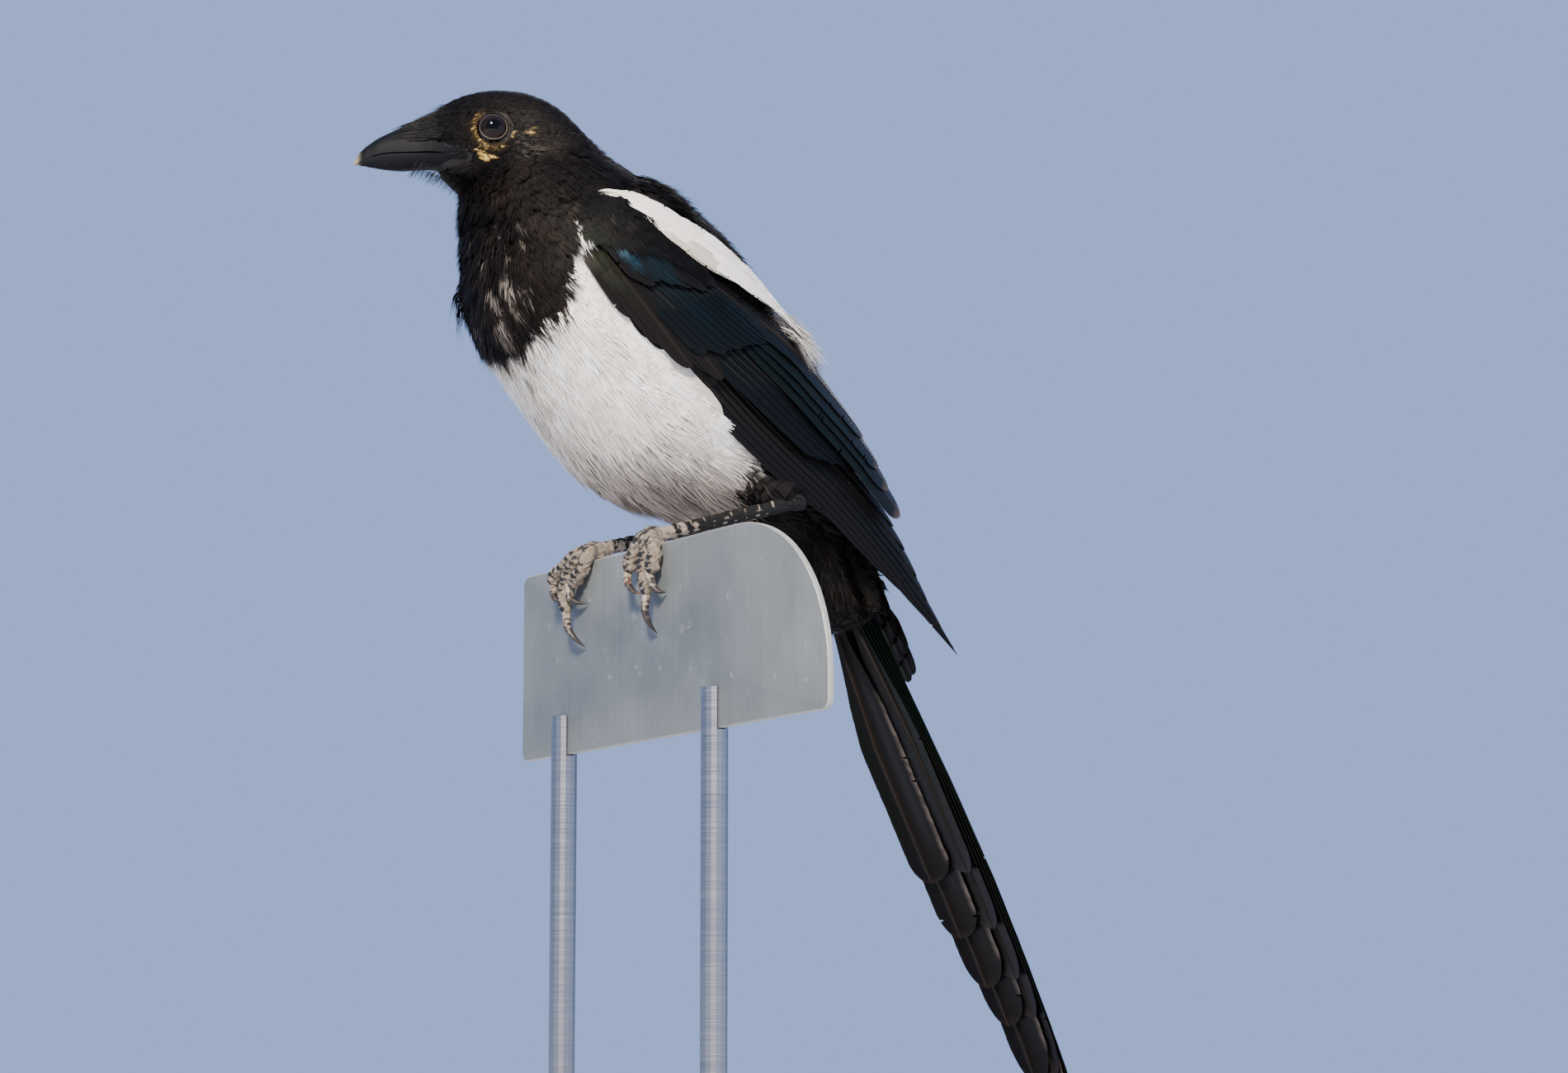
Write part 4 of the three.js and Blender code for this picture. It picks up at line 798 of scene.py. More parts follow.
def vane(surface, length, inner, outer, colour, draw, point=0.8, rows=24, shaft=0.5, splits=3, thick=0.3,
         root_width=0.5):
    """One feather on a surface(f, off, lift), as points, quads, places in its vane and colours."""
    stops = 1 - (1 - np.linspace(0, 1, rows)) ** 1.35
    gaps = draw.uniform(0.35, 0.97, splits)
    depths = draw.uniform(0.12, 0.5, (splits, 2)) * (draw.random((splits, 2)) < 0.6)
    step = 0.45 / length
    stops = np.unique(np.clip(np.concatenate([stops, gaps - step, gaps, gaps + step]), 0, 1))
    width = outlined(stops, point, root_width)
    nick = np.ones((len(stops), 2))
    for gap, pair in zip(gaps, depths):
        near = np.clip(1 - np.abs(stops - gap) / step, 0, 1)
        nick *= 1 - near[:, None] * pair
    nick *= 1 + draw.uniform(-0.012, 0.012, nick.shape)
    quill = shaft * (1 - 0.82 * stops)
    shares = np.array([1, 0.78, 0.5, 0.25])
    low = -inner * width[:, None] * np.where(shares > 0.6, nick[:, :1] ** (shares * 1.3), 1) * shares
    high = outer * width[:, None] * np.where(shares > 0.6, nick[:, 1:] ** (shares * 1.3), 1) * shares
    low = np.minimum(low, -quill[:, None] * (1 + shares))
    high = np.maximum(high, quill[:, None] * (1 + shares))
    off = np.concatenate([low, -quill[:, None], 0 * quill[:, None], quill[:, None], high[:, ::-1]], 1)
    rise = np.zeros_like(off)
    rise[:, 5] = quill
    f = np.broadcast_to(stops[:, None], off.shape)
    half = 0.5 * thick * (1 - 0.5 * np.abs(off) / max(inner, outer))
    points, quads = slab(surface(f, off, rise + half), surface(f, off, -rise - half))
    share = np.where(off < 0, off / inner, off / outer)
    flat = np.stack([off, f * length], -1).reshape(-1, 2)
    on_shaft = np.zeros(off.shape)
    on_shaft[:, 4:7] = (0.3, 1.0, 0.3)
    tones = [colour(f, share, face) for face in (1, -1)]
    return {
        "points": points,
        "quads": quads,
        "flat": np.concatenate([flat, flat]),
        "colour": np.concatenate([tone[0].reshape(-1, 3) for tone in tones]),
        "gloss": np.concatenate([tone[1].ravel() for tone in tones]),
        "shaft": np.concatenate([on_shaft.ravel(), on_shaft.ravel()]),
    }


def place_of(tree):
    """Places in the part's own metres."""
    return add(tree, "ShaderNodeTexCoord").outputs["Object"]


def noise(tree, vector, scale, detail, roughness=0.5, distortion=0.0):
    node = add(tree, "ShaderNodeTexNoise", {"Vector": vector}, Scale=scale, Detail=detail,
               Roughness=roughness)
    node.inputs["Distortion"].default_value = distortion
    return node.outputs["Fac"]


def ranged(tree, value, low, high, to_low, to_high):
    """A value carried from one range to another and held at its ends."""
    node = add(tree, "ShaderNodeMapRange", {"Value": value}, From_Min=low, From_Max=high, To_Min=to_low,
               To_Max=to_high)
    return node.outputs["Result"]


def sums(tree, operation, *terms):
    """Arithmetic on sockets and plain numbers."""
    node = add(tree, "ShaderNodeMath", operation=operation)
    for socket, term in zip(node.inputs, terms):
        if isinstance(term, (int, float)):
            socket.default_value = term
        else:
            tree.links.new(term, socket)
    return node.outputs[0]


def scaled(tree, colour, share):
    return add(tree, "ShaderNodeVectorMath", {0: colour, "Scale": share}, operation="SCALE").outputs[0]


def mixed(tree, share, colour, hex_colour):
    """A colour that gives way to another by a share."""
    node = add(tree, "ShaderNodeMix", {"Factor": share, 6: colour}, data_type="RGBA")
    node.inputs[7].default_value = rgba(hex_colour)
    return node.outputs[2]


def bumped(tree, surface, height, strength, distance, **settings):
    node = add(tree, "ShaderNodeBump", {"Height": height}, Strength=strength, Distance=distance, **settings)
    tree.links.new(node.outputs["Normal"], surface.inputs["Normal"])


BARB_STEP = 0.9  # mm between the barbs drawn on a vane


def vane_finish(name, roughness, shaft_colour, gleam, ripples=0.1):
    """Keratin vane: barbs drawn twice as coarse as real ones so that they show, and a smooth shaft."""
    material, tree, surface = finish(name, roughness, Specular_IOR_Level=gleam)
    gloss = add(tree, "ShaderNodeAttribute", attribute_name="gloss").outputs["Fac"]
    quill = add(tree, "ShaderNodeAttribute", attribute_name="shaft").outputs["Fac"]
    flat = add(tree, "ShaderNodeUVMap", uv_map="vane").outputs["UV"]
    split = add(tree, "ShaderNodeSeparateXYZ", {"Vector": flat}).outputs
    slant = sums(tree, "MULTIPLY_ADD", sums(tree, "ABSOLUTE", split["X"]), -1.3, split["Y"])
    ripple = sums(tree, "SINE", sums(tree, "MULTIPLY", slant, 2 * math.pi / BARB_STEP))
    uneven = sums(tree, "MULTIPLY", ripple, noise(tree, place_of(tree), 260.0, 3.0))
    tint = scaled(tree, painted(tree), ranged(tree, uneven, -0.6, 0.6, 1 - ripples, 1 + ripples))
    tree.links.new(mixed(tree, quill, tint, shaft_colour), surface.inputs["Base Color"])
    tree.links.new(gloss, surface.inputs["Metallic"])
    bumped(tree, surface, ripple, 0.18, 0.0001)
    return material


def vane_piece(name, vanes, material):
    points, quads = merged([(v["points"], v["quads"]) for v in vanes])
    piece = mesh_piece(name, points, quads, material)
    piece.data.set_sharp_from_angle(angle=math.radians(50))
    paint(piece, "plumage", np.concatenate([v["colour"] for v in vanes]))
    for key in ("gloss", "shaft"):
        layer = piece.data.attributes.new(key, "FLOAT", "POINT")
        layer.data.foreach_set("value", np.concatenate([v[key] for v in vanes]).astype(np.float32))
    flat = np.concatenate([v["flat"] for v in vanes])
    layer = piece.data.uv_layers.new(name="vane")
    layer.data.foreach_set("uv", flat[quads.ravel()].astype(np.float32).ravel())
    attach(piece, "root")
    return piece


def wing_vane(root, tip, inner, outer, lift, tilt, side, colour, draw, bow=0.0, **form):
    """A feather on the wing's sheet, from root to tip, each as distance along it and angle off the back."""
    def surface(f, off, rise):
        along = root[0] + (tip[0] - root[0]) * f
        station = sheet_station(along)
        reach = (station[..., 3] + station[..., 5]) / 2 - WING_SINK
        angle = root[1] + (tip[1] - root[1]) * f + bow * 4 * f * (1 - f) + np.degrees(off / reach)
        height = lift[0] + (lift[1] - lift[0]) * np.minimum(1, 2.2 * f)
        height = height + tilt * off / (inner + outer) + rise
        return sheet_point(along, angle, side, height)
    span = sheet_point(np.array([root[0], tip[0]]), np.array([root[1], tip[1]], float), side, 0)
    return vane(surface, np.linalg.norm(span[1] - span[0]), inner, outer, colour, draw, **form)


def tier(count, first, last, side, colour, draw, **form):
    """Feathers whose roots, tips and heights run from one end of the tier to the other."""
    made = []
    for number in range(count):
        share = number / (count - 1)
        mix = {key: np.array(first[key]) * (1 - share) + np.array(last[key]) * share
               for key in ("root", "tip", "lift")}
        mix["tip"] = mix["tip"] + draw.normal(0, (0.8, 0.3))
        made.append(wing_vane(side=side, colour=colour, draw=draw, **mix, **form))
    return made


def tinted(base, sheen, gloss_from, gloss_to, edge="#3a332c", edged=0.3):
    """A vane's colours: dull inner web, glossed outer web, worn pale rim. Gives colour and gloss."""
    base, sheen, edge = linear(base), linear(sheen), linear(edge)

    def colour(f, share, face):
        shine = smoothstep(share, -0.4, 0.5) * (face > 0)
        tone = blend(base, sheen, shine)
        rim = smoothstep(np.abs(share), 0.86, 1.0) * edged + smoothstep(f, 0.965, 1.0) * edged
        tone = blend(tone, edge, np.clip(rim, 0, 1))
        return tone, shine * (gloss_from + (gloss_to - gloss_from) * f)
    return colour


def arm(side):
    """The flesh and bone under the coverts, as a low closed pad."""
    f, c = np.meshgrid(np.linspace(0, 1, 24), np.linspace(0, 1, 14), indexing="ij")
    along = 2 + 66 * f
    high = np.interp(along, np.arange(6) * SHOULDER_STEP, SHOULDER) - 4
    low = 106 + 7 * np.clip((along - 2) / 26, 0, 1)
    angle = high + (low - high) * c
    swell = np.minimum(1, np.minimum(np.minimum(5 * f, 5 * (1 - f)), np.minimum(4 * c, 4 * (1 - c))))
    points, quads = slab(sheet_point(along, angle, side, -0.6 + 1.8 * swell),
                         sheet_point(along, angle, side, -3.4 + 0 * f))
    count = len(points)
    dark = np.tile(linear("#141210"), (count, 1))
    return {"points": points, "quads": quads, "flat": np.zeros((count, 2)), "colour": dark,
            "gloss": np.zeros(count), "shaft": np.zeros(count)}


quill_finish = vane_finish("glossed_quill_keratin", 0.42, "#2b251d", 0.1)


def worn(f, share, face):
    """Tertials: black with a green gloss along the outer edge and ragged buff tips."""
    black, green, buff = linear("#0a0a0a"), linear("#0a1312"), linear("#5f5043")
    shine = smoothstep(share, 0.3, 0.9) * (face > 0)
    tone = blend(black, green, shine)
    tip = smoothstep(f, 0.96, 1.0) * 0.7
    return blend(tone, buff, np.clip(tip, 0, 1)), 0.18 * shine


def wing_vanes(side, seed):
    draw = np.random.default_rng(seed)
    reach = RIGHT_WING_REACH if side > 0 else 1.0
    brown = tinted("#0b0a09", "#0c0c0d", 0.0, 0.05, "#221d19", 0.2)
    blue = tinted("#070708", "#07090c", 0.1, 0.06, "#0c0d0f", 0.1)
    teal = tinted("#080809", "#090e10", 0.25, 0.15, "#0b0e10", 0.1)
    strip = tinted("#100d0b", "#13100e", 0.08, 0.03, "#241e19", 0.15)
    dull = tinted("#0d0b0a", "#100f0e", 0.05, 0.03, "#1d1a17", 0.2)
    vanes = [arm(side)]
    for number, tip in enumerate(PRIMARY_TIPS):
        f = number / (len(PRIMARY_TIPS) - 1)
        vanes.append(wing_vane([34 + 12 * f, 107 - 21 * f], [tip * reach, 108 - 50 * f], 3.6, 2.8,
                               [-0.8, -0.8], 1.1, side, brown, draw, bow=1.5, point=0.66 + 0.2 * f,
                               rows=40, shaft=0.6, splits=2))
    vanes += tier(8, {"root": [44, 97], "tip": [112, 85], "lift": [0.3, 2.0]},
                  {"root": [44, 76], "tip": [138, 52], "lift": [0.3, 2.2]},
                  side, blue, draw, inner=4.0, outer=3.4, tilt=0.7, point=0.84, rows=34, shaft=0.4,
                  splits=2, thick=0.2)
    vanes += tier(4, {"root": [46, 77], "tip": [145, 60], "lift": [0.6, 3.4]},
                  {"root": [48, 68], "tip": [122, 42], "lift": [0.9, 4.8]},
                  side, worn, draw, inner=5.6, outer=5.2, tilt=0.3, point=0.92, rows=34, shaft=0.4,
                  splits=4)
    vanes += tier(8, {"root": [16, 106], "tip": [46, 111], "lift": [0.0, 1.6]},
                  {"root": [16, 95], "tip": [66, 100], "lift": [0.2, 2.2]},
                  side, strip, draw, inner=3.0, outer=3.0, tilt=0.8, point=0.8, rows=20, shaft=0.3,
                  splits=1)
    vanes += tier(3, {"root": [6, 109], "tip": [38, 112], "lift": [0.6, 2.6]},
                  {"root": [7, 104], "tip": [58, 107], "lift": [0.8, 3.0]},
                  side, strip, draw, inner=3.4, outer=3.4, tilt=0.6, point=0.78, rows=20, shaft=0.3,
                  splits=1)
    vanes += tier(11, {"root": [26, 100], "tip": [58, 98], "lift": [0.8, 3.0]},
                  {"root": [26, 80], "tip": [76, 60], "lift": [0.8, 3.4]},
                  side, teal, draw, inner=3.6, outer=3.0, tilt=0.6, point=0.82, rows=20, shaft=0.25,
                  splits=1, thick=0.2)
    vanes += tier(11, {"root": [6, 99], "tip": [30, 99], "lift": [0.9, 3.6]},
                  {"root": [10, 84], "tip": [47, 73], "lift": [0.9, 4.0]},
                  side, dull, draw, inner=3.0, outer=3.0, tilt=0.6, point=0.7, rows=14, shaft=0.2,
                  splits=1, thick=0.2)
    return vanes


PAINTED_SHEEN = [  # along, angle, half length, half width, strength and colour of the bright patches of painted sheen
    (19.0, 97.5, 4.5, 2.4, 0.8, "#64879a"), (23.5, 97.0, 6.0, 2.6, 0.5, "#254b5c"),
    (27.8, 84.5, 2.6, 1.8, 0.8, "#5b8fa6"), (31.0, 90.0, 11.0, 5.0, 0.4, "#15303a"),
    (46.0, 88.0, 14.0, 5.0, 0.2, "#0f242c"), (60.0, 74.0, 18.0, 2.2, 0.2, "#0e2324"),
    (15.5, 108.0, 6.0, 3.0, 0.4, "#2b3526"), (22.0, 109.0, 8.0, 3.5, 0.4, "#283226"),
    (31.0, 108.0, 8.0, 3.0, 0.3, "#20251d"),
]


def with_painted_sheen(points, colour, gloss, side):
    """Paints the patches of sheen into a wing's colours and raises its gloss there."""
    grain = 0.75 + 0.35 * waves(points, 1.8, 66)
    for along, angle, long, wide, strength, tone in PAINTED_SHEEN:
        spots = sheet_point(along + np.array([-1.0, 0.0, 1.0]), np.full(3, float(angle)), side, 3.0)
        axis = unit(spots[2] - spots[0])
        off = points - spots[1]
        down = off @ axis
        across = np.linalg.norm(off - down[:, None] * axis, axis=1)
        near = strength * (1 - smoothstep(np.hypot(down / long, across / wide), 0.3, 1.1)) * grain
        share = np.clip(near, 0, 1)
        # Painted sheen: the colour is carried toward the patch's bright tone.
        colour = blend(colour, linear(tone), share)
        gloss = gloss + (0.75 - gloss) * share
    return colour, gloss


BEND_ROOTS_TRIED = 15000
BEND_BARBS = 8
BEND_GAP = 1.5


def bend_coat(name, side, seed):
    """The small soft feathers over the wing's bend, laid like the coat but on the folded arm."""
    draw = np.random.default_rng(seed)
    along, angle = np.meshgrid(np.linspace(-3, 46, 60), np.linspace(64, 117, 60), indexing="ij")
    dome = 1.6 + 2.2 * smoothstep(along, -2, 8)
    cover = sheet_point(along, angle, side, dome)
    quads = grid_quads(np.arange(along.size).reshape(along.shape))
    if side < 0:
        quads = quads[:, ::-1]
    flat = BIRD_AT + cover.reshape(-1, 3) * MM
    faces = BVHTree.FromPolygons([Vector(p) for p in flat], [tuple(int(i) for i in q) for q in quads])
    along = draw.uniform(-2, 36, BEND_ROOTS_TRIED)
    angle = draw.uniform(70, 114, BEND_ROOTS_TRIED)
    top = read_off(BAND_LOW, along) - 2
    end = np.interp(angle, [67, 72, 77, 82.5, 90, 96, 101, 106, 114], [46, 38, 31, 23, 18, 14.5, 11, 9, 6])
    low = np.interp(along, [-2, 2, 6, 12, 17], [99, 103, 108, 112, 112])
    inside = (angle > top) & (angle < low) & (along < end)
    along, angle = along[inside], angle[inside]
    lift = 1.4 + 2.2 * smoothstep(along, -2, 8)
    roots = sheet_point(along, angle, side, lift)
    keep = thinned(roots, np.full(len(roots), BEND_GAP))
    along, angle, roots = along[keep], angle[keep], roots[keep]
    ahead = unit(sheet_point(along + 1, angle + 0.25, side, lift[keep]) - roots)
    normals = unit(on_skin(roots, faces)[1])
    flow = unit(ahead - normals * (ahead * normals).sum(1)[:, None])
    length = np.interp(along, [-2, 10, 40], [5.5, 7.0, 9.0]) * draw.uniform(0.85, 1.15, len(roots))
    depth = np.full(len(roots), 1.0) * draw.uniform(0.7, 1.2, len(roots))

    def bend_colour(points, stray):
        velvet, dusty, green = linear("#070707"), linear("#25211d"), linear("#171d14")
        spot = sheet_point(np.array([12.5]), np.array([92.0]), side, 4)[0]
        near = 1 - smoothstep(np.linalg.norm(points - spot, axis=1) + 40 * stray, 3, 8)
        low_spot = sheet_point(np.array([13.0]), np.array([107.0]), side, 3)[0]
        lower = 1 - smoothstep(np.linalg.norm(points - low_spot, axis=1) + 30 * stray, 2.5, 7)
        worn_off = 0.7 * near * smoothstep(waves(points, 2.5, 64) + 8 * stray, -0.6, 0.8)
        tone = blend(velvet, dusty, worn_off)
        return blend(tone, green, 0.5 * lower)

    coat_piece("coat_bend_" + name, roots, normals, flow, length, depth, BEND_BARBS, seed + 1, faces,
               bend_colour)


BAND_TOP = np.array([  # along and angle of the upper and lower edges of the white shoulder feathers
    (0.3, 92.6), (1.6, 84.5), (5.3, 77), (11.6, 69), (17.3, 62), (27.6, 54), (38.5, 48), (49.8, 43),
    (63, 38), (74, 38), (86.5, 34),
])
BAND_LOW = np.array([
    (0.5, 93.2), (3, 85.0), (7, 78.6), (12, 74.8), (21, 75.0), (28.6, 74), (37, 72), (44.5, 69),
    (55.5, 61.5), (64.4, 55), (74.4, 49), (87.5, 39),
])
for number, (name, side) in enumerate(SIDES.items()):
    vanes = wing_vanes(side, 60 + number)
    for made in vanes:
        made["colour"], made["gloss"] = with_painted_sheen(made["points"], made["colour"], made["gloss"], side)
    wing = vane_piece("wing_" + name + "_plumage", vanes, quill_finish)
    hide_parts("wing_" + name)
    bend_coat(name, side, 160 + 10 * number)

# Shoulder feathers. Long soft white scapulars in rows along the wing's upper edge, from the bend to the
# rump, with frayed lower ends.
def shoulder_vanes(side, seed):
    draw = np.random.default_rng(seed)
    made = []
    for end in np.arange(5, 88, 3.6):
        top, low = read_off(BAND_TOP, end), read_off(BAND_LOW, end)
        station = sheet_station(np.array([end]))[0]
        wide = math.radians(low - top) * (station[3] + station[5]) / 2
        half = np.clip(0.32 * wide, 0.25, 2.9)
        count = max(2, int(round(wide / (1.5 * half))))
        for number in range(count):
            share = 0.5 + ((number + 0.5) / count - 0.5) * (1 - 0.9 * half / wide)
            length = min(end - 0.3, draw.uniform(22, 30))
            start = end - length
            from_top, from_low = read_off(BAND_TOP, start), read_off(BAND_LOW, start)
            mid = end - 0.5 * length
            mid_top, mid_low = read_off(BAND_TOP, mid), read_off(BAND_LOW, mid)
            from_angle = from_low + (from_top - from_low) * (1 - share)
            to_angle = low + (top - low) * (1 - share)
            bow = mid_low + (mid_top - mid_low) * (1 - share) - 0.5 * (from_angle + to_angle)
            shade = draw.uniform(0, 1) ** 2
            # Along the band's lower edge, in its middle, the white turns grey-brown.
            grey_lower_edge = (0.8 * smoothstep(share, 0.6, 0.95) * smoothstep(end, 30, 40)
                     * (1 - smoothstep(end, 52, 62)))
            pale = (np.array([244, 240, 233]) - shade * np.array([12, 15, 22])
                    - grey_lower_edge * np.array([95, 100, 110]))
            pale = "#%02x%02x%02x" % tuple(int(v) for v in pale)
            lift = np.array([1.0, 3.4]) + np.interp(end, [0, 30, 84], [0.0, 0.9, 2.6]) + 0.5 * draw.random()
            made.append(wing_vane(
                [start, from_angle], [end + draw.normal(0, 0.8), to_angle], half, half, lift, 0.3, side,
                tinted(pale, pale, 0, 0, "#ddd4c8", 0.15), draw, bow=bow, point=0.55, rows=18, shaft=0.12,
                splits=3, thick=0.2, root_width=0.12))
    return made


scapular_finish = vane_finish("white_scapular_vane", 0.75, "#e8e2d8", 0.2, 0.06)
for number, (name, side) in enumerate(SIDES.items()):
    scapulars = vane_piece("scapulars_" + name + "_plumage", shoulder_vanes(side, 70 + number),
                           scapular_finish)
    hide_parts("scapulars_" + name)

# Tail. Twelve graduated feathers in one closed stack, the short outer pair underneath and the long
# central pair on top, green above and brown-black below, with coverts over their roots.
TAIL_ROOT = np.array([86.8, 0.0, -16.6])
TAIL_SLOPE = math.radians(62.6)
TAIL_LENGTHS = [202, 161, 141, 127, 109, 89]  # by pair, the central one first
TAIL_SPREAD = [3.6, 5.2, 6.6, 7.8, 8.8, 9.8]  # from the middle to each pair's shafts
TAIL_LAYER = 0.82  # from one feather up to the next
TAIL_CAMBER = 0.008  # fall to the sides, by the square of the distance across
TAIL_DROOP = 9.0  # fall of the longest tips


def tail_point(along, across, lift):
    high = lift - TAIL_CAMBER * across ** 2 - TAIL_DROOP * np.maximum(0, along / TAIL_LENGTHS[0]) ** 4
    return np.stack([
        TAIL_ROOT[0] + math.cos(TAIL_SLOPE) * along + math.sin(TAIL_SLOPE) * high,
        across,
        TAIL_ROOT[2] - math.sin(TAIL_SLOPE) * along + math.cos(TAIL_SLOPE) * high,
    ], -1)


def tail_vane(start, end, shaft_off, side, lift, inner, outer, colour, draw, **form):
    def surface(f, off, rise):
        spread = 0.55 + 0.45 * np.minimum(1, 2.2 * f)
        return tail_point(start + (end - start) * f, side * (shaft_off + off) * spread, lift + rise)
    return vane(surface, end - start, inner, outer, colour, draw, **form)


def tail_colour(f, share, face):
    dull, green, violet = linear("#0c0a09"), linear("#0b2017"), linear("#151429")
    sheen = blend(green, violet, smoothstep(f, 0.72, 0.95))
    shine = smoothstep(share, -0.2, 0.4) * (0.8 if face > 0 else 0.12)
    tone = blend(dull, sheen, shine)
    worn = smoothstep(f, 0.97, 1.0) * 0.3 + smoothstep(np.abs(share), 0.93, 1.0) * 0.12
    tone = blend(tone, linear("#3d332b"), worn)
    if face < 0:
        tone = 0.7 * tone
        # Painted sheen: a blue-grey band along the inner web underneath.
        sheen_band = (np.exp(-((share + 0.45) / 0.14) ** 2) * smoothstep(f, 0.1, 0.3)
                 * (1 - smoothstep(f, 0.7, 0.95)))
        tone = blend(tone, linear("#2a2e33"), 0.45 * sheen_band)
        # Painted highlight: pale wavy lines along the inner edges underneath, where light catches them.
        rim = (smoothstep(-share, 0.93, 1.0) * smoothstep(f, 0.15, 0.4)
               * (0.7 + 0.3 * np.sin(37 * f + 2 * np.sin(90 * f))))
        tone = blend(tone, linear("#8b8078"), 0.5 * rim)
    return tone, shine * 0.5


def tail_vanes():
    draw = np.random.default_rng(80)
    made = []
    pairs = len(TAIL_LENGTHS)
    for pair, length in enumerate(TAIL_LENGTHS):
        for number, side in enumerate((1, -1)):
            made.append(tail_vane(
                3, length - (0 if side > 0 else 2), TAIL_SPREAD[pair], side,
                (2 * (pairs - 1 - pair) + number - pairs + 0.5) * TAIL_LAYER, 12.5, 6.5, tail_colour, draw,
                point=0.9, rows=56, shaft=0.9, splits=2, thick=0.35))
    for row in range(4):
        for number in range(5):
            off = (number - 2) * 4.4 + (row % 2) * 2.0
            made.append(tail_vane(
                -14 + 5 * row, 8 + 6.5 * row - abs(off) * 0.5, off, 1, 6.2 + 0.5 * row, 4.6, 4.6,
                lambda f, share, face: tail_colour(f, share, 1), draw,
                point=0.72, rows=18, shaft=0.2, splits=0))
    return made


tail = vane_piece("tail_plumage", tail_vanes(),
                  vane_finish("tail_quill_keratin", 0.36, "#2a2522", 0.05, 0.04))
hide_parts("tail")

# Eyes and lids. Dark brown eyes as deep in the skull as real ones, each in a pale lid margin and a ring
# of folded dark skin that the face feathers stop short of.
LID_PROFILE = [  # mm from the eye's middle, and off the eyeball or the face
    (3.6, -0.9), (3.92, -0.08), (4.02, 0.14), (4.14, 0.24), (4.28, 0.2), (4.45, 0.0), (4.7, 0.06),
    (5.0, 0.24), (5.3, 0.08), (5.65, 0.16), (6.0, -0.05), (6.4, -0.45), (6.8, -1.1), (5.0, -2.4),
]


def skull_side(forward, up):
    """Half width of the skull's feathered outline at a place on its side."""
    places = np.interp(forward, SKULL[:, 0], np.arange(len(SKULL)))
    station = through(SKULL, places)
    middle, high = (station[..., 1] + station[..., 2]) / 2, (station[..., 1] - station[..., 2]) / 2
    return station[..., 3] * np.sqrt(np.clip(1 - ((up - middle) / high) ** 2, 0.01, 1))


def eyeball(name, side):
    turns, rows = np.linspace(0, 2 * math.pi, 64, endpoint=False), np.linspace(0, math.pi, 40)[1:-1]
    tilt, turn = np.meshgrid(rows, turns, indexing="ij")
    radius = EYE["radius"] * (1 + 0.03 * smoothstep(-tilt, -0.75, -0.2))
    points, faces = lofted(head_point(
        EYE["forward"] + radius * np.sin(tilt) * np.cos(turn),
        side * (EYE["right"] + radius * np.cos(tilt)),
        EYE["up"] + radius * np.sin(tilt) * np.sin(turn)))
    ball = mesh_piece("eye_" + name + "_ball", points, faces, eye_finish)
    pupil = head_point(EYE["forward"], side * (EYE["right"] + EYE["radius"]), EYE["up"])
    off = np.linalg.norm(points - pupil, axis=1)
    iris = smoothstep(off, 2.0, 2.5) * (1 - smoothstep(off, 3.9, 4.3))
    paint(ball, "plumage", blend(linear("#040303"), linear("#160d08"), iris))
    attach(ball, "root")
    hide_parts("eye_" + name)


def eyelid(name, side):
    turns = np.linspace(0, 2 * math.pi, 72, endpoint=False)
    profile = np.array(LID_PROFILE)
    r, turn = np.meshgrid(profile[:, 0], turns, indexing="ij")
    rise = np.broadcast_to(profile[:, 1:], r.shape)
    fold = 0.12 * np.sin(9 * turn + 2 * r) + 0.1 * np.sin(17 * turn - 3 * r) + 0.06 * np.sin(31 * turn)
    rise = rise + fold * smoothstep(r, 4.3, 4.8)
    oval = r * (1 - 0.1 * (1 - smoothstep(r, 4.4, 5.6)))
    over_ball = EYE["radius"] ** 2 - (r * np.cos(turn)) ** 2 - (oval * np.sin(turn)) ** 2
    ball = EYE["right"] + np.sqrt(np.clip(over_ball, 0, None))
    forward, up = EYE["forward"] + r * np.cos(turn), EYE["up"] + oval * np.sin(turn)
    face = skull_side(forward, up) - 0.5
    share = smoothstep(r, 4.2, 5.6)
    rings = head_point(forward, side * (ball * (1 - share) + face * share + rise), up)
    count, sides = len(profile), len(turns)
    a = np.arange(count)[:, None] * sides + np.arange(sides)
    b = np.roll(a, -1, axis=0)
    quads = np.stack([a, b, np.roll(b, -1, axis=1), np.roll(a, -1, axis=1)], -1).reshape(-1, 4)
    lid = mesh_piece("eyelid_" + name, rings.reshape(-1, 3), quads if side < 0 else quads[:, ::-1],
                     lid_finish)
    r, turn = r.ravel(), turn.ravel()
    margin = smoothstep(r, 3.95, 4.03) * (1 - smoothstep(r, 4.2, 4.32)) * (0.8 + 0.2 * np.sin(23 * turn))
    margin = margin * (0.25 + 0.75 * smoothstep(-np.sin(turn + 0.5), -0.5, 0.5))
    yellow = (smoothstep(np.cos(turn + 0.5), -0.1, 0.8) * smoothstep(np.sin(6 * turn + r * 4), -0.4, 0.9)
              * smoothstep(r, 4.8, 5.3))
    tone = blend(linear("#191410"), linear("#7d6534"), 0.8 * yellow)
    paint(lid, "plumage", blend(tone, linear("#6f6352"), margin))
    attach(lid, "root")


# A wet cornea over a dark brown iris: a smooth ball that shows the light as one small sharp spot.
eye_finish = painted_finish("wet_dark_cornea", 0.05, Specular_IOR_Level=0.2)
# Bare lid skin: dull and pored, so that its folds and pale margin show round the bright eye.
lid_finish, lid_tree, lid_surface = finish("folded_eyelid_skin", 0.62, Specular_IOR_Level=0.25)
lid_tree.links.new(painted(lid_tree), lid_surface.inputs["Base Color"])
bumped(lid_tree, lid_surface, noise(lid_tree, place_of(lid_tree), 2500.0, 4.0), 0.5, 0.0002)
for name, side in SIDES.items():
    eyeball(name, side)
    eyelid(name, side)

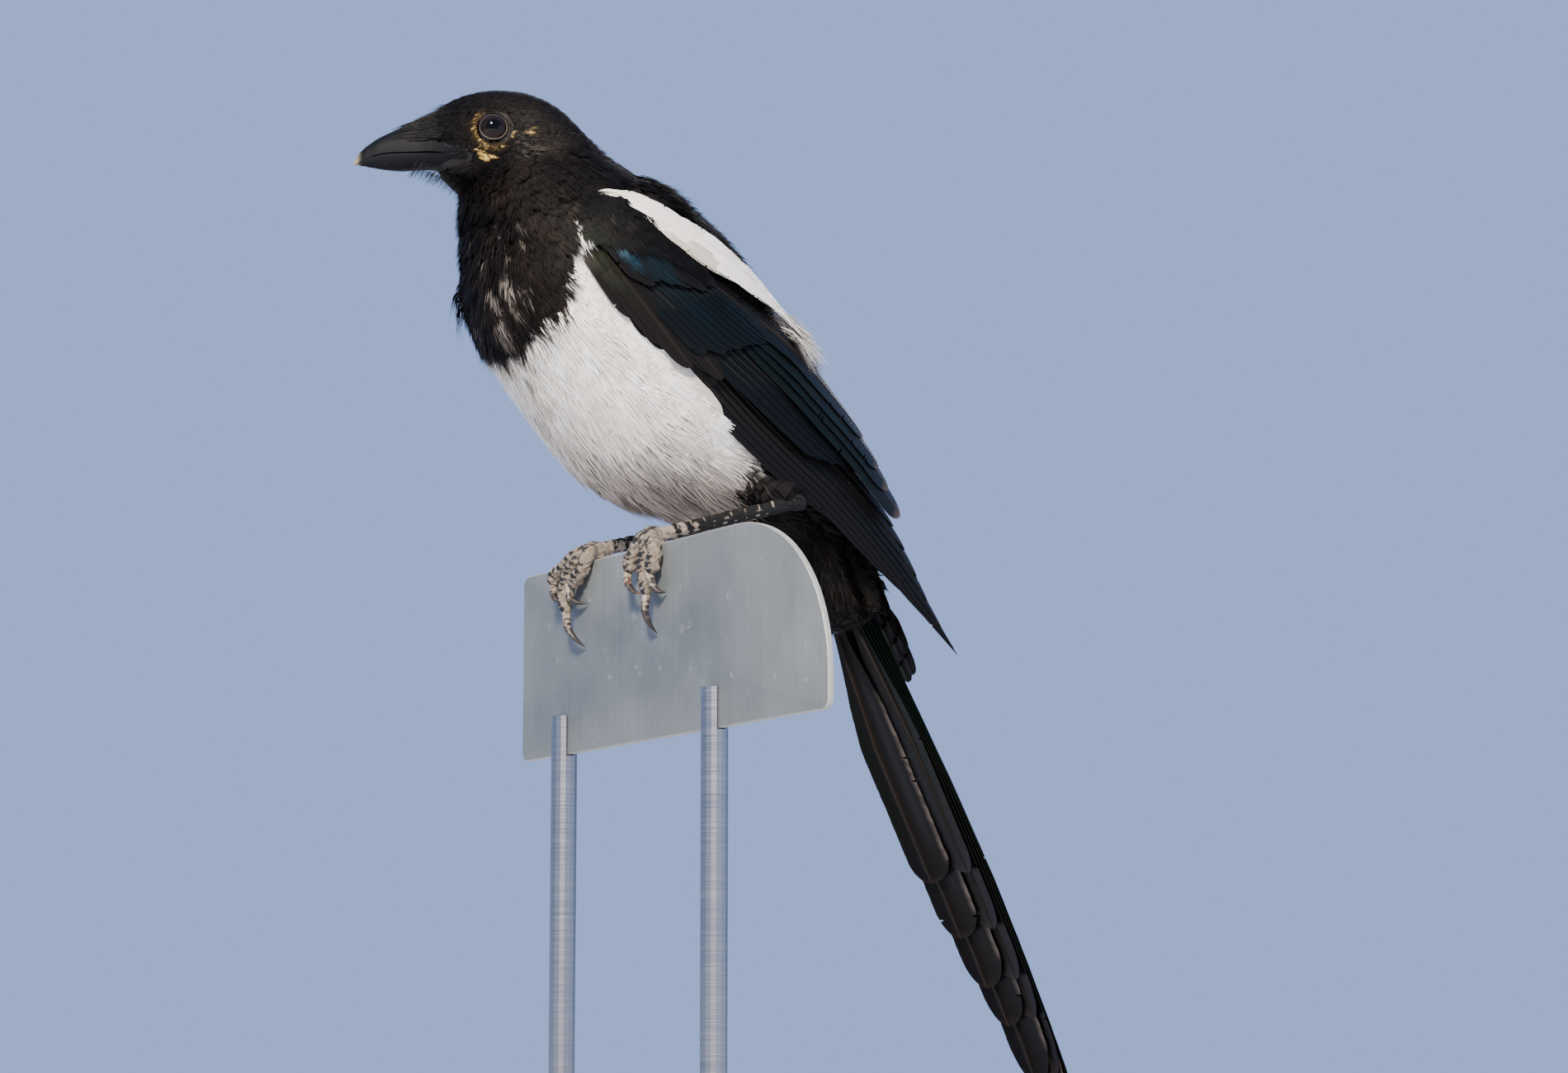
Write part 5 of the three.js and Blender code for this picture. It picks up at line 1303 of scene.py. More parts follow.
# Bill. Two horn sheaths, dark slate and worn paler at the tip and cutting edges, set back into the face.
BILL = np.array([  # forward, ridge, cutting edge, chin and half width
    (12.0, 8.0, -6.4, -10.5, 10.4),
    (14.0, 8.2, -6.3, -10.4, 11.2),
    (17.5, 7.6, -6.1, -10.0, 9.8),
    (21.5, 6.4, -5.8, -9.5, 7.7),
    (25.9, 5.4, -5.35, -9.3, 6.0),
    (29, 4.9, -5.35, -9.6, 5.1),
    (33, 3.3, -5.4, -10.1, 4.4),
    (37, 1.5, -5.45, -10.05, 3.5),
    (41, -0.65, -5.95, -9.85, 2.6),
    (44.5, -3.3, -7.2, -9.6, 1.6),
    (46.4, -5.4, -8.3, -9.6, 1.0),
    (47.9, -8.1, -9.0, -9.3, 0.4),
])
LOWER_SHORTER = 1.4  # how far the lower bill ends behind the upper


def bill_station(forward):
    return through(BILL, np.interp(forward, BILL[:, 0], np.arange(len(BILL))))


def bill_point(forward, turn, lift):
    """A point of the upper bill's arch: turn 0 at the right cutting edge, 90 at the ridge, 180 at left."""
    station = bill_station(forward)
    out, up = np.cos(np.radians(turn)), np.sin(np.radians(turn))
    arch = station[..., 1] - station[..., 2] + lift
    high = station[..., 2] + arch * np.abs(up) ** 0.85 + 0.12
    return head_point(forward, (station[..., 4] + lift) * out, high)


def sheath(lower):
    """Closed rings of one half of the bill, from inside the face to the tip."""
    length = BILL[-1, 0] - BILL[0, 0]
    forward = BILL[0, 0] + length * (1 - (1 - np.linspace(0, 1, 72)) ** 1.5)
    turn = np.concatenate([np.linspace(0, 180, 37), np.linspace(165, 15, 11)])
    f, a = np.meshgrid(forward, turn, indexing="ij")
    station = bill_station(f)
    outer = (np.arange(len(turn)) < 37)[None] & (f > 0)
    inner = ~outer * 0.3 * np.sin(np.radians(a))
    tomium = 0.12 * smoothstep(f, 40, 44)
    if not lower:
        flat = head_point(f, station[..., 4] * np.cos(np.radians(a)), station[..., 2] + 0.12 + inner)
        return np.where(outer[..., None], bill_point(f, a, 0.0), flat)
    short = 1 - LOWER_SHORTER / length * smoothstep(f, 30, 47)
    deep = station[..., 2] - station[..., 3]
    narrow = 0.88 + 0.06 * (1 - smoothstep(f, 16, 27))
    down = np.where(outer, deep * np.abs(np.sin(np.radians(a))) ** 0.85, inner) + 0.12 + tomium
    at = BILL[0, 0] + (f - BILL[0, 0]) * short
    return head_point(at, narrow * station[..., 4] * np.cos(np.radians(a)), bill_station(at)[..., 2] - down)


def stretched(tree, vector, scale, turn=(0, 0, 0)):
    """Places drawn out by a scale on each axis, after a turn."""
    node = add(tree, "ShaderNodeMapping", {"Vector": vector})
    node.inputs["Rotation"].default_value = turn
    node.inputs["Scale"].default_value = scale
    return node.outputs["Vector"]


# Dull slate horn, matt from wear. Growth streaks run along the bill; scratches and dust flecks are about
# 0.2 mm wide, as in the photograph.
horn_finish, horn_tree, horn_surface = finish("slate_bill_horn", 0.5, Specular_IOR_Level=0.08)
horn_place = place_of(horn_tree)
horn_along = stretched(horn_tree, horn_place, (180, 1300, 1300), (0, math.radians(-14), HEAD_TURN))
horn_streak = noise(horn_tree, horn_along, 1.0, 5.0, 0.65)
horn_scratch = ranged(horn_tree, horn_streak, 0.66, 0.8, 0, 0.22)
horn_dust = ranged(horn_tree, noise(horn_tree, horn_place, 900.0, 6.0, 0.7), 0.67, 0.77, 0, 0.6)
horn_marks = sums(horn_tree, "MAXIMUM", horn_scratch, horn_dust)
horn_tree.links.new(mixed(horn_tree, horn_marks, painted(horn_tree), "#8a8783"),
                    horn_surface.inputs["Base Color"])
bumped(horn_tree, horn_surface, horn_streak, 0.3, 0.0003)
for name, lower in (("upper_bill", False), ("lower_bill", True)):
    points, faces = lofted(sheath(lower))
    bill = mesh_piece(name + "_horn", points, faces, horn_finish)
    bill.data.set_sharp_from_angle(angle=math.radians(40))
    forward = head_place(points)[0]
    tip = smoothstep(forward, 45.4, 47.8)
    # The horn is painted darker toward the face: painted shade under the bristles that lie over its root.
    slate = linear("#0e1014") * (0.45 + 0.55 * smoothstep(forward, 15, 22))[:, None]
    paint(bill, "plumage", blend(slate, linear("#8d8070"), tip))
    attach(bill, "root")
    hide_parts(name)

# Bristles. Stiff barbless feathers lie forward over the nostrils and hang from the chin; each is a thin
# tapered hair of keratin set in the skin round the bill.
def bristle_tree():
    """Hairs of one length on a patch, laid along the patch's own direction."""
    tree = bpy.data.node_groups.new("bristles_on_skin", "GeometryNodeTree")
    tree.interface.new_socket("Patch", in_out="INPUT", socket_type="NodeSocketGeometry")
    for name, kind in (("Hairs per square metre", "NodeSocketFloat"), ("Length", "NodeSocketFloat"),
                       ("Root width", "NodeSocketFloat"), ("Seed", "NodeSocketInt"),
                       ("Finish", "NodeSocketMaterial")):
        tree.interface.new_socket(name, in_out="INPUT", socket_type=kind)
    tree.interface.new_socket("Bristles", in_out="OUTPUT", socket_type="NodeSocketGeometry")
    given = add(tree, "NodeGroupInput")
    roots = add(tree, "GeometryNodeDistributePointsOnFaces", {
        "Mesh": given.outputs["Patch"], "Density": given.outputs["Hairs per square metre"],
        "Seed": given.outputs["Seed"]})
    bend = add(tree, "GeometryNodeCurveQuadraticBezier")
    bend.inputs["Resolution"].default_value = 5
    bend.inputs["Start"].default_value = (0, 0, 0)
    bend.inputs["Middle"].default_value = (0.5, 0, 0.07)
    bend.inputs["End"].default_value = (1, 0, 0.0)
    along = add(tree, "GeometryNodeSplineParameter")
    taper = add(tree, "ShaderNodeMapRange", {"Value": along.outputs["Factor"]}, To_Min=1.0, To_Max=0.12)
    thinned_curve = add(tree, "GeometryNodeSetCurveRadius",
                        {"Curve": bend.outputs["Curve"], "Radius": taper.outputs[0]})
    width = add(tree, "ShaderNodeMath", {0: given.outputs["Root width"], 1: given.outputs["Length"]},
                operation="DIVIDE")
    section = add(tree, "GeometryNodeCurvePrimitiveCircle", {"Radius": width.outputs[0]})
    section.inputs["Resolution"].default_value = 4
    hair = add(tree, "GeometryNodeCurveToMesh",
               {"Curve": thinned_curve.outputs["Curve"], "Profile Curve": section.outputs["Curve"]})
    hair.inputs["Fill Caps"].default_value = True
    if "Scale" in hair.inputs:
        tree.links.new(taper.outputs[0], hair.inputs["Scale"])
    lie_of = add(tree, "GeometryNodeInputNamedAttribute", data_type="FLOAT_VECTOR")
    lie_of.inputs["Name"].default_value = "lie"
    stray = add(tree, "FunctionNodeRandomValue", {"Seed": given.outputs["Seed"]}, data_type="FLOAT_VECTOR")
    stray.inputs["Min"].default_value = (-0.1, -0.1, -0.1)
    stray.inputs["Max"].default_value = (0.1, 0.1, 0.1)
    heading = add(tree, "ShaderNodeVectorMath",
                  {0: lie_of.outputs["Attribute"], 1: stray.outputs["Value"]}, operation="ADD")
    turned = add(tree, "FunctionNodeAxesToRotation", {
        "Primary Axis": heading.outputs[0], "Secondary Axis": roots.outputs["Normal"]},
        primary_axis="X", secondary_axis="Z")
    sizes = add(tree, "FunctionNodeRandomValue", {"Seed": given.outputs["Seed"]}, data_type="FLOAT")
    sizes.inputs[2].default_value = 0.55
    sizes.inputs[3].default_value = 1.1
    size = add(tree, "ShaderNodeMath", {0: sizes.outputs[1], 1: given.outputs["Length"]},
               operation="MULTIPLY")
    placed = add(tree, "GeometryNodeInstanceOnPoints", {
        "Points": roots.outputs["Points"], "Instance": hair.outputs["Mesh"],
        "Rotation": turned.outputs["Rotation"], "Scale": size.outputs[0]})
    real = add(tree, "GeometryNodeRealizeInstances", {"Geometry": placed.outputs["Instances"]})
    finished = add(tree, "GeometryNodeSetMaterial",
                   {"Geometry": real.outputs["Geometry"], "Material": given.outputs["Finish"]})
    add(tree, "NodeGroupOutput", {"Bristles": finished.outputs["Geometry"]})
    return tree


bristle_nodes = bristle_tree()
# Black hairs of keratin, a little glossier than the feathers, uneven in tone so that single ones show.
bristle_finish, bristle_shader, bristle_surface = finish("black_bristle_keratin", 0.55, "#0d0b0a",
                                                         Specular_IOR_Level=0.2)
bristle_tone = ranged(bristle_shader, noise(bristle_shader, place_of(bristle_shader), 700.0, 2.0), 0, 1,
                      0.002, 0.022)
bristle_shader.links.new(bristle_tone, bristle_surface.inputs["Base Color"])


def bristles(name, grid, lie_along, density, length, width, seed):
    """Bristles on a patch given as a grid of points, with the direction they lie in at each."""
    quads = grid_quads(np.arange(grid[..., 0].size).reshape(grid.shape[:2]))
    points = grid.reshape(-1, 3)
    centre = HEAD_AT + (points.mean(0) - HEAD_AT) * (0.6, 0.3, 0.3)
    corner = points[quads[len(quads) // 2]]
    facing = np.cross(corner[1] - corner[0], corner[3] - corner[0])
    if facing @ (corner[0] - centre) < 0:
        quads = quads[:, ::-1]
    patch = mesh_piece(name, points, quads, bristle_finish)
    layer = patch.data.attributes.new("lie", "FLOAT_VECTOR", "POINT")
    layer.data.foreach_set("vector", lie_along.reshape(-1, 3).astype(np.float32).ravel())
    grown = patch.modifiers.new("bristles", "NODES")
    grown.node_group = bristle_nodes
    sizes = {"Hairs per square metre": density, "Length": length * MM, "Root width": width * MM,
             "Seed": seed, "Finish": bristle_finish}
    for item in bristle_nodes.interface.items_tree:
        if item.name in sizes:
            grown[item.identifier] = sizes[item.name]
    settled(patch)
    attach(patch, "root")


nose_forward, nose_turn = np.meshgrid(np.linspace(14, 30, 17), np.linspace(14, 166, 32), indexing="ij")
nose_high = np.interp(nose_forward, [15, 17, 22, 25.5, 28, 30], [2.4, 2.6, 2.2, 1.4, 0.5, 0.2])
nose_wide = np.interp(nose_forward, [15, 22, 28.5], [1.0, 1.0, 0.25])
nose_lift = nose_wide + (nose_high - nose_wide) * np.sin(np.radians(nose_turn)) ** 2
nose = bill_point(nose_forward, nose_turn, nose_lift)
nose_lie = (np.gradient(nose, axis=0) + 0.1 * np.gradient(nose, axis=1)
            * np.cos(np.radians(nose_turn))[..., None])
bristles("nasal_bristles", nose, unit(nose_lie), 2.8e6, 8.0, 0.12, 5)
chin_forward, chin_across = np.meshgrid(np.linspace(14, 30, 12), np.linspace(-4.5, 4.5, 9), indexing="ij")
chin_bottom = np.interp(chin_forward, [14, 18, 22, 26, 30], [-15.6, -13.6, -11.4, -9.6, -9.0])
chin = head_point(chin_forward, chin_across, chin_bottom + 0.07 * chin_across ** 2)
chin_lie = np.broadcast_to(unit(head_point(0.55, 0, -0.8) - HEAD_AT), chin.shape)
bristles("chin_bristles", chin, chin_lie, 1.6e6, 4.2, 0.08, 6)
for name, side in SIDES.items():
    gape_forward, gape_up = np.meshgrid(np.linspace(12.5, 17, 5), np.linspace(-11.4, -6.8, 6),
                                        indexing="ij")
    gape = head_point(gape_forward, side * (skull_side(gape_forward, gape_up) - 0.5), gape_up)
    gape_lie = np.broadcast_to(unit(head_point(0.85, side * 0.05, -0.45) - HEAD_AT), gape.shape)
    bristles("gape_bristles_" + name, gape, gape_lie, 1.6e6, 4.5, 0.07, 7)

# Tarsi. Thin bare legs under horn plates: a row of broad scutes down the front and a plain edge behind,
# black where worn clean, with dried pale mud in the seams and over the ends at the feet.
BALL_PLACES = {"left": -19.4, "right": 15.8}  # of the balls of the feet, along the perch
TARSUS_RADIUS = 2.3
SCUTES = 9


def foot_point(place):
    """A point of a foot, from the perch's upper edge to the bird's frame."""
    return np.asarray(place, float) - (0, 0, PERCH_DROP)


def path_frame(path, steps, outward):
    """Smooth points along a path, its direction, the way across it and the way outward."""
    at = np.linspace(0, len(path) - 1, steps)
    middles = through(np.asarray(path, float), at)
    ahead = unit(np.gradient(middles, axis=0))
    out = outward(middles)
    out = unit(out - ahead * (out * ahead).sum(1)[:, None])
    return middles, ahead, np.cross(ahead, out), out, at


def tube(middles, across, out, sideways, outward):
    """Rings round a path, from how far each point stands sideways and outward of it."""
    return middles[:, None] + across[:, None] * sideways[..., None] + out[:, None] * outward[..., None]


def tarsus(name, side):
    heel = HEEL * (1, side, 1)
    ball = foot_point((3.4, BALL_PLACES[name], 3.9))
    middles, _, across, out, at = path_frame(
        [heel - 0.03 * (ball - heel), heel + 0.5 * (ball - heel), ball], 260,
        lambda p: np.tile((-0.35, 0.0, 1.0), (len(p), 1)))
    f = at / 2
    turn = np.linspace(0, 2 * math.pi, 48, endpoint=False)
    f, turn = np.meshgrid(f, turn, indexing="ij")
    front = smoothstep(np.cos(turn), 0.1, 0.45)
    scute = (f - 0.1) / 0.84 * SCUTES + 0.12 * np.sin(turn)
    phase = scute - np.floor(scute)
    plate = smoothstep(phase, 0.0, 0.1) * (1 - 0.55 * phase)
    on_leg = smoothstep(f, 0.08, 0.12) * (1 - smoothstep(f, 0.94, 0.97))
    knuckle = np.exp(-((f - 0.03) / 0.05) ** 2) + 0.55 * np.exp(-((f - 1.0) / 0.05) ** 2)
    radius = TARSUS_RADIUS * (0.86 + 0.28 * knuckle) + 0.34 * plate * front * on_leg
    radius = radius + 0.1 * (1 - front) * np.sin(8 * turn) * np.sin(60 * f)
    ring = tube(middles, across, out, 0.84 * radius * np.sin(turn), radius * np.cos(turn))
    flat = ring.reshape(-1, 3)
    lump = (0.12 + 0.2 * smoothstep(f, 0.6, 0.95)) * waves(flat, 2.0, 91).reshape(f.shape)
    ring = (ring + (across[:, None] * np.sin(turn)[..., None] + out[:, None] * np.cos(turn)[..., None])
            * lump[..., None])
    points, faces = lofted(ring)
    leg = mesh_piece("tarsus_" + name + "_scutes", points, faces, leg_finish)
    seam = ((1 - smoothstep(phase, 0.05, 0.2)) * front
            + 0.5 * (1 - front) * smoothstep(np.sin(8 * turn), 0.3, 0.9))
    mud = 1.1 * seam + 1.6 * smoothstep(f, 0.62, 1.05) - 0.45 + 0.8 * waves(flat, 3.0, 92).reshape(f.shape)
    mud = np.clip(mud, 0, 1) * smoothstep(f, 0.08, 0.25)
    mud = np.concatenate([mud.ravel(), [0, 1]])
    paint(leg, "plumage", blend(LEG_BLACK, MUD, smoothstep(mud, 0.25, 0.8)))
    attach(leg, "root")
    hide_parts("tarsus_" + name)


LEG_BLACK = linear("#141516")
MUD = linear("#978a7c")
# Black horn under matt mud. Cracks in the dried mud run about 0.6 mm apart, and grit in it is near
# 0.15 mm, as in the photograph.
leg_finish, leg_tree, leg_surface = finish("leg_horn_and_dried_mud", 0.66, Specular_IOR_Level=0.2)
leg_place = place_of(leg_tree)
leg_cracks = add(leg_tree, "ShaderNodeTexVoronoi", {"Vector": leg_place}, Scale=1500.0,
                 feature="DISTANCE_TO_EDGE")
leg_crack = ranged(leg_tree, leg_cracks.outputs["Distance"], 0, 0.09, 0.62, 1)
leg_grit = noise(leg_tree, leg_place, 2600.0, 5.0, 0.7)
leg_dim = sums(leg_tree, "MULTIPLY", leg_crack, ranged(leg_tree, leg_grit, 0.25, 0.75, 0.72, 1.25))
leg_tree.links.new(scaled(leg_tree, painted(leg_tree), leg_dim), leg_surface.inputs["Base Color"])
bumped(leg_tree, leg_surface, sums(leg_tree, "ADD", leg_crack, leg_grit), 0.6, 0.0003)
for name, side in SIDES.items():
    tarsus(name, side)

# Feet. Three toes over the perch's edge and one behind, each with oval horn plates on top, swollen pads
# below and mud dried over both; they grip the sheet, pressed against its faces.
TOES = {  # paths from the perch's upper edge, radii, and the paths of the claws
    "left": {
        "inner": ([(0.5, -19.3, 3.3), (-2.5, -20.4, 1.9), (-3.8, -19, -1.4), (-4.5, -17.2, -4.2),
                   (-4.6, -17.2, -7.6)],
                  [2.5, 2.4, 2.2, 2.5, 1.9],
                  [(-4.9, -16.5, -8.7), (-5.7, -17.9, -11.2), (-5.3, -20.4, -13.7), (-4.3, -23, -14.7)]),
        "middle": ([(0.5, -19.9, 3.3), (-2.6, -23, 1.8), (-3.7, -25, -2.6), (-4.3, -24.2, -8),
                    (-4.5, -26.2, -13), (-4.3, -27, -15.8)],
                   [2.5, 2.4, 2.2, 1.9, 2, 1.7],
                   [(-4.5, -26.6, -17), (-5.4, -27.4, -20.4), (-4.2, -27.8, -24), (-1.7, -28.2, -27)]),
        "outer": ([(0.5, -20.6, 3.2), (-2.5, -25.8, 1.4), (-3.6, -29.8, -3), (-4.2, -29.5, -6.8),
                   (-4.2, -29.1, -9.4)],
                  [2.5, 2.3, 2.1, 2.4, 1.8],
                  [(-4.4, -28.7, -10.6), (-4.5, -30.2, -13), (-3.3, -31.8, -15), (-1.7, -33.1, -15.3)]),
        "hind": ([(1.5, -19.6, 3.3), (3.8, -19.3, 1.2), (3.8, -19.2, -4), (3.4, -19.2, -8.5)],
                 [2.5, 2.4, 2.2, 1.9],
                 [(3.5, -19.2, -9.8), (4.6, -19.2, -13.6), (3.8, -19.2, -17.4), (1.8, -19.2, -20)]),
    },
    "right": {
        "inner": ([(0.5, 15.1, 3.2), (-2.6, 11.8, 1.6), (-3.7, 12.9, -2.9), (-4.4, 16, -5.4),
                   (-4.4, 18.2, -7.6)],
                  [2.5, 2.3, 2.1, 2.4, 1.8],
                  [(-4.6, 19.2, -8.8), (-4.7, 18.6, -11), (-3.4, 16.2, -12.6), (-1.7, 13.4, -13.2)]),
        "middle": ([(0.5, 15.6, 3.3), (-2.7, 16.2, 1.9), (-3.9, 20.2, -2.6), (-4.5, 23, -8),
                    (-4.6, 22.2, -12.6), (-4.4, 20.6, -15.4)],
                   [2.5, 2.4, 2.2, 1.9, 2, 1.7],
                   [(-4.6, 20.8, -16.7), (-5.4, 18.8, -20.2), (-4.2, 16.4, -23.7), (-1.7, 14.7, -26.4)]),
        "outer": ([(0.5, 16.2, 3.3), (-2.6, 19.6, 1.9), (-4, 24.2, -1), (-4.8, 27.8, -3.2),
                   (-4.8, 28.8, -6)],
                  [2.5, 2.4, 2.2, 2.5, 1.9],
                  [(-5, 28.4, -7.2), (-5.9, 26.8, -9.6), (-5.4, 24.8, -11.2), (-4.4, 22.5, -11.9)]),
        "hind": ([(1.5, 16, 3.3), (3.8, 15.8, 1.2), (3.8, 15.7, -4), (3.4, 15.6, -8.5)],
                 [2.5, 2.4, 2.2, 1.9],
                 [(3.5, 15.6, -9.8), (4.6, 15.6, -13.6), (3.8, 15.6, -17.4), (1.8, 15.6, -20)]),
    },
}


def off_perch(points):
    """The way outward from the perch's upper edge."""
    high = np.clip(points[:, 2] + PERCH_DROP, 0, None)
    return np.stack([points[:, 0], np.zeros(len(points)), 0.6 * high], -1)


def toe(path, radii, seed, plates=1.95, pad=True):
    """One toe as closed rings, with how muddy each point is."""
    path = foot_point(path)
    length = np.linalg.norm(np.diff(path, axis=0), axis=1).sum()
    middles, _, across, out, at = path_frame(path, int(length * 7), off_perch)
    marks = np.concatenate([[0], np.cumsum(np.linalg.norm(np.diff(middles, axis=0), axis=1))])
    radius = np.interp(at, np.linspace(0, len(path) - 1, len(radii)), radii)
    turn = np.linspace(0, 2 * math.pi, 40, endpoint=False)
    mark, turn = np.meshgrid(marks, turn, indexing="ij")
    top = np.cos(turn)
    phase = mark / plates + 0.3 * (np.abs(np.sin(turn)) > 0.55)
    phase = phase - np.floor(phase)
    oval = 1 - smoothstep(np.hypot((phase - 0.5) / 0.45, np.arctan2(np.sin(turn), top) / 0.95), 0.8, 1.05)
    under = smoothstep(-top, 0.2, 0.7) * (0.22 * np.sin(mark * 2 * math.pi / 4.2) + 0.12)
    rounded = (np.clip(marks / length, 0.93, 1)[:, None] - 0.93) ** 2 / 0.07 ** 2 * 0.75
    close = np.ones_like(mark) * np.sqrt(np.clip(1 - rounded, 0, 1))
    reach = (0.93 * radius[:, None] + 0.24 * oval + under * pad) * close
    ring = tube(middles, across, out, 0.9 * reach * np.sin(turn), reach * top)
    flat = ring.reshape(-1, 3)
    lump = ((0.2 * waves(flat, 1.7, seed) + 0.12 * waves(flat, 0.8, seed + 1)).reshape(mark.shape)
            * (1 - 0.6 * oval))
    ring = (ring + (across[:, None] * np.sin(turn)[..., None] + out[:, None] * top[..., None])
            * lump[..., None])
    clean = oval * smoothstep(waves(flat, 2.6, seed + 2).reshape(mark.shape), -0.55, 0.1)
    points, faces = lofted(ring)
    return points, faces, np.concatenate([1 - clean.ravel(), [1, 1]])


def claw_base(name, key):
    path, radii, claw = TOES[name][key]
    start = np.array(claw[0]) - 2.2 * unit(np.array(claw[1], float) - np.array(claw[0]))
    return path, radii, [tuple(start)] + claw


for number, (name, side) in enumerate(SIDES.items()):
    y = BALL_PLACES[name]
    parts = [toe([(5.0, y, 4.0), (3.4, y, 4.0), (1.8, y, 3.8), (0.0, y, 3.3)], [2.0, 2.6, 2.9, 2.7],
                 100 + number, 2.6, False)]
    for order, key in enumerate(TOES[name]):
        path, radii, claw = claw_base(name, key)
        parts.append(toe(path, radii, 110 + 10 * number + order))
    points, faces = merged([(p, q) for p, q, mud in parts])
    foot = mesh_piece("foot_" + name + "_scales", points, faces, leg_finish)
    mud = np.concatenate([m for p, q, m in parts])
    shade = 0.85 + 0.25 * waves(points, 2.2, 130 + number)
    paint(foot, "plumage", blend(linear("#25282d"), MUD, mud) * shade[:, None])
    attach(foot, "root")
    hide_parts("foot_" + name)

# Claws. Curved hollow horn sheaths, flat-sided and sharp, growing from the toe ends; dark, worn paler and
# a little brown on the ridge, with mud at the root.
CLAW_RADII = [1.5, 1.5, 1.35, 0.95, 0.14]  # from inside the toe to the point
# Hard black horn with a soft shine, scuffed duller in patches under a millimetre wide.
claw_finish, claw_tree, claw_surface = finish("black_claw_horn", 0.38)
claw_noise = noise(claw_tree, place_of(claw_tree), 1300.0, 5.0, 0.65)
claw_tint = scaled(claw_tree, painted(claw_tree), ranged(claw_tree, claw_noise, 0.3, 0.7, 0.6, 1.5))
claw_tree.links.new(claw_tint, claw_surface.inputs["Base Color"])
claw_tree.links.new(ranged(claw_tree, claw_noise, 0.3, 0.7, 0.28, 0.6), claw_surface.inputs["Roughness"])
for number, name in enumerate(SIDES):
    for order, key in enumerate(TOES[name]):
        path, radii, claw = claw_base(name, key)
        middles, _, across, out, at = path_frame(foot_point(claw), 60, off_perch)
        radius = through(np.array(CLAW_RADII)[:, None], at)[:, 0]
        turn = np.linspace(0, 2 * math.pi, 28, endpoint=False)
        top = radius[:, None] * np.cos(turn) * np.where(np.cos(turn) > 0, 1.0, 0.8)
        ring = tube(middles, across, out, 0.72 * radius[:, None] * np.sin(turn), top)
        points, faces = lofted(ring)
        nail = mesh_piece("claw_" + key + "_" + name + "_horn", points, faces, claw_finish)
        f = np.concatenate([np.repeat(at / at[-1], len(turn)), [0, 1]])
        mud = (1 - smoothstep(f + 0.2 * waves(points, 1.5, 140 + order), 0.25, 0.55)) * 0.8
        tan = (smoothstep(waves(points, 1.8, 150 + 4 * number + order), 0.1, 0.7)
               * (0.5 if key == "inner" and name == "left" else 0.05))
        tone = blend(linear("#232020"), linear("#8a4f22"), tan)
        paint(nail, "plumage", blend(tone, MUD, mud))
        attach(nail, "root")
        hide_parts("claw_" + key + "_" + name)

# Perch. A cut length of sheet aluminium with one large round corner, weathered grey-green, its edges
# rounded off, scratched and streaked by rain; it stands in the slots of the two rods.
# Ends along the perch, height, radii of the large and small corners, and half the thickness.
PANEL = {"left": -119.5, "right": 55.0, "height": 58.0, "corner": 48.0, "small": 3.0, "half": 1.0}


def panel_outline(inset):
    """The sheet's outline, as across and up from its top edge, drawn in by a distance."""
    corners = [(PANEL["left"], 0, PANEL["corner"], 180), (PANEL["right"], 0, PANEL["small"], 90),
               (PANEL["right"], -PANEL["height"], PANEL["small"], 0),
               (PANEL["left"], -PANEL["height"], PANEL["small"], 270)]
    points = []
    for across, up, radius, start in corners:
        middle = (across + math.copysign(radius, -across), up + (-radius if up == 0 else radius))
        for turn in np.radians(np.linspace(start, start - 90, 33)):
            points.append((middle[0] + (radius - inset) * math.cos(turn),
                           middle[1] + (radius - inset) * math.sin(turn)))
    return np.array(points)


panel_profile = [  # place through the thickness, and how far the outline is drawn in there
    (-1.0, 0.38), (-0.93, 0.16), (-0.8, 0.04), (-0.6, 0.0), (0.6, 0.0), (0.8, 0.04), (0.93, 0.16),
    (1.0, 0.38),
]
rings = []
for level, inset in panel_profile:
    outline = panel_outline(inset)
    rings.append(np.stack([np.full(len(outline), level * PANEL["half"]), outline[:, 0],
                           outline[:, 1] - PERCH_DROP], -1))
points, faces = lofted(np.array(rings))


def ramp(tree, value, low, high, low_end=0.0, high_end=1.0):
    """Two colours and the blend between them, along a value."""
    node = add(tree, "ShaderNodeValToRGB", {"Fac": value})
    for stop, hex_colour, end in zip(node.color_ramp.elements, (low, high), (low_end, high_end)):
        stop.position = end
        stop.color = rgba(hex_colour)
    return node.outputs["Color"]


# Dull weathered metal, greyer than clean sheet. Rolled grain and rain streaks run down it, 0.3 to 2 mm
# wide; blotches are 20 mm and more; the cut edges are bright bare metal with a painted highlight on them.
panel_finish, panel_tree, panel_surface = finish("weathered_sheet_aluminium", 0.55, Metallic=0.3)
panel_place = place_of(panel_tree)
panel_grain = noise(panel_tree, stretched(panel_tree, panel_place, (900, 900, 22)), 1.0, 4.0, 0.6)
panel_blotch = noise(panel_tree, panel_place, 38.0, 6.0, 0.62)
panel_pale = ranged(panel_tree, noise(panel_tree, panel_place, 170.0, 7.0, 0.72), 0.6, 0.74, 0, 0.6)
panel_scuffs_and_edge_highlight = sums(panel_tree, "MAXIMUM", panel_pale, painted(panel_tree, "edge"))
panel_base = ramp(panel_tree, panel_blotch, "#565d60", "#6a7276", 0.32, 0.7)
panel_mix = mixed(panel_tree, panel_scuffs_and_edge_highlight, panel_base, "#b9bab2")
panel_tint = scaled(panel_tree, panel_mix, ranged(panel_tree, panel_grain, 0.25, 0.75, 0.93, 1.07))
panel_tree.links.new(panel_tint, panel_surface.inputs["Base Color"])
panel_tree.links.new(ranged(panel_tree, panel_blotch, 0, 1, 0.38, 0.68), panel_surface.inputs["Roughness"])
bumped(panel_tree, panel_surface, panel_grain, 0.25, 0.0002)
panel = mesh_piece("perch_sheet", points, faces, panel_finish)
panel.data.set_sharp_from_angle(angle=math.radians(50))
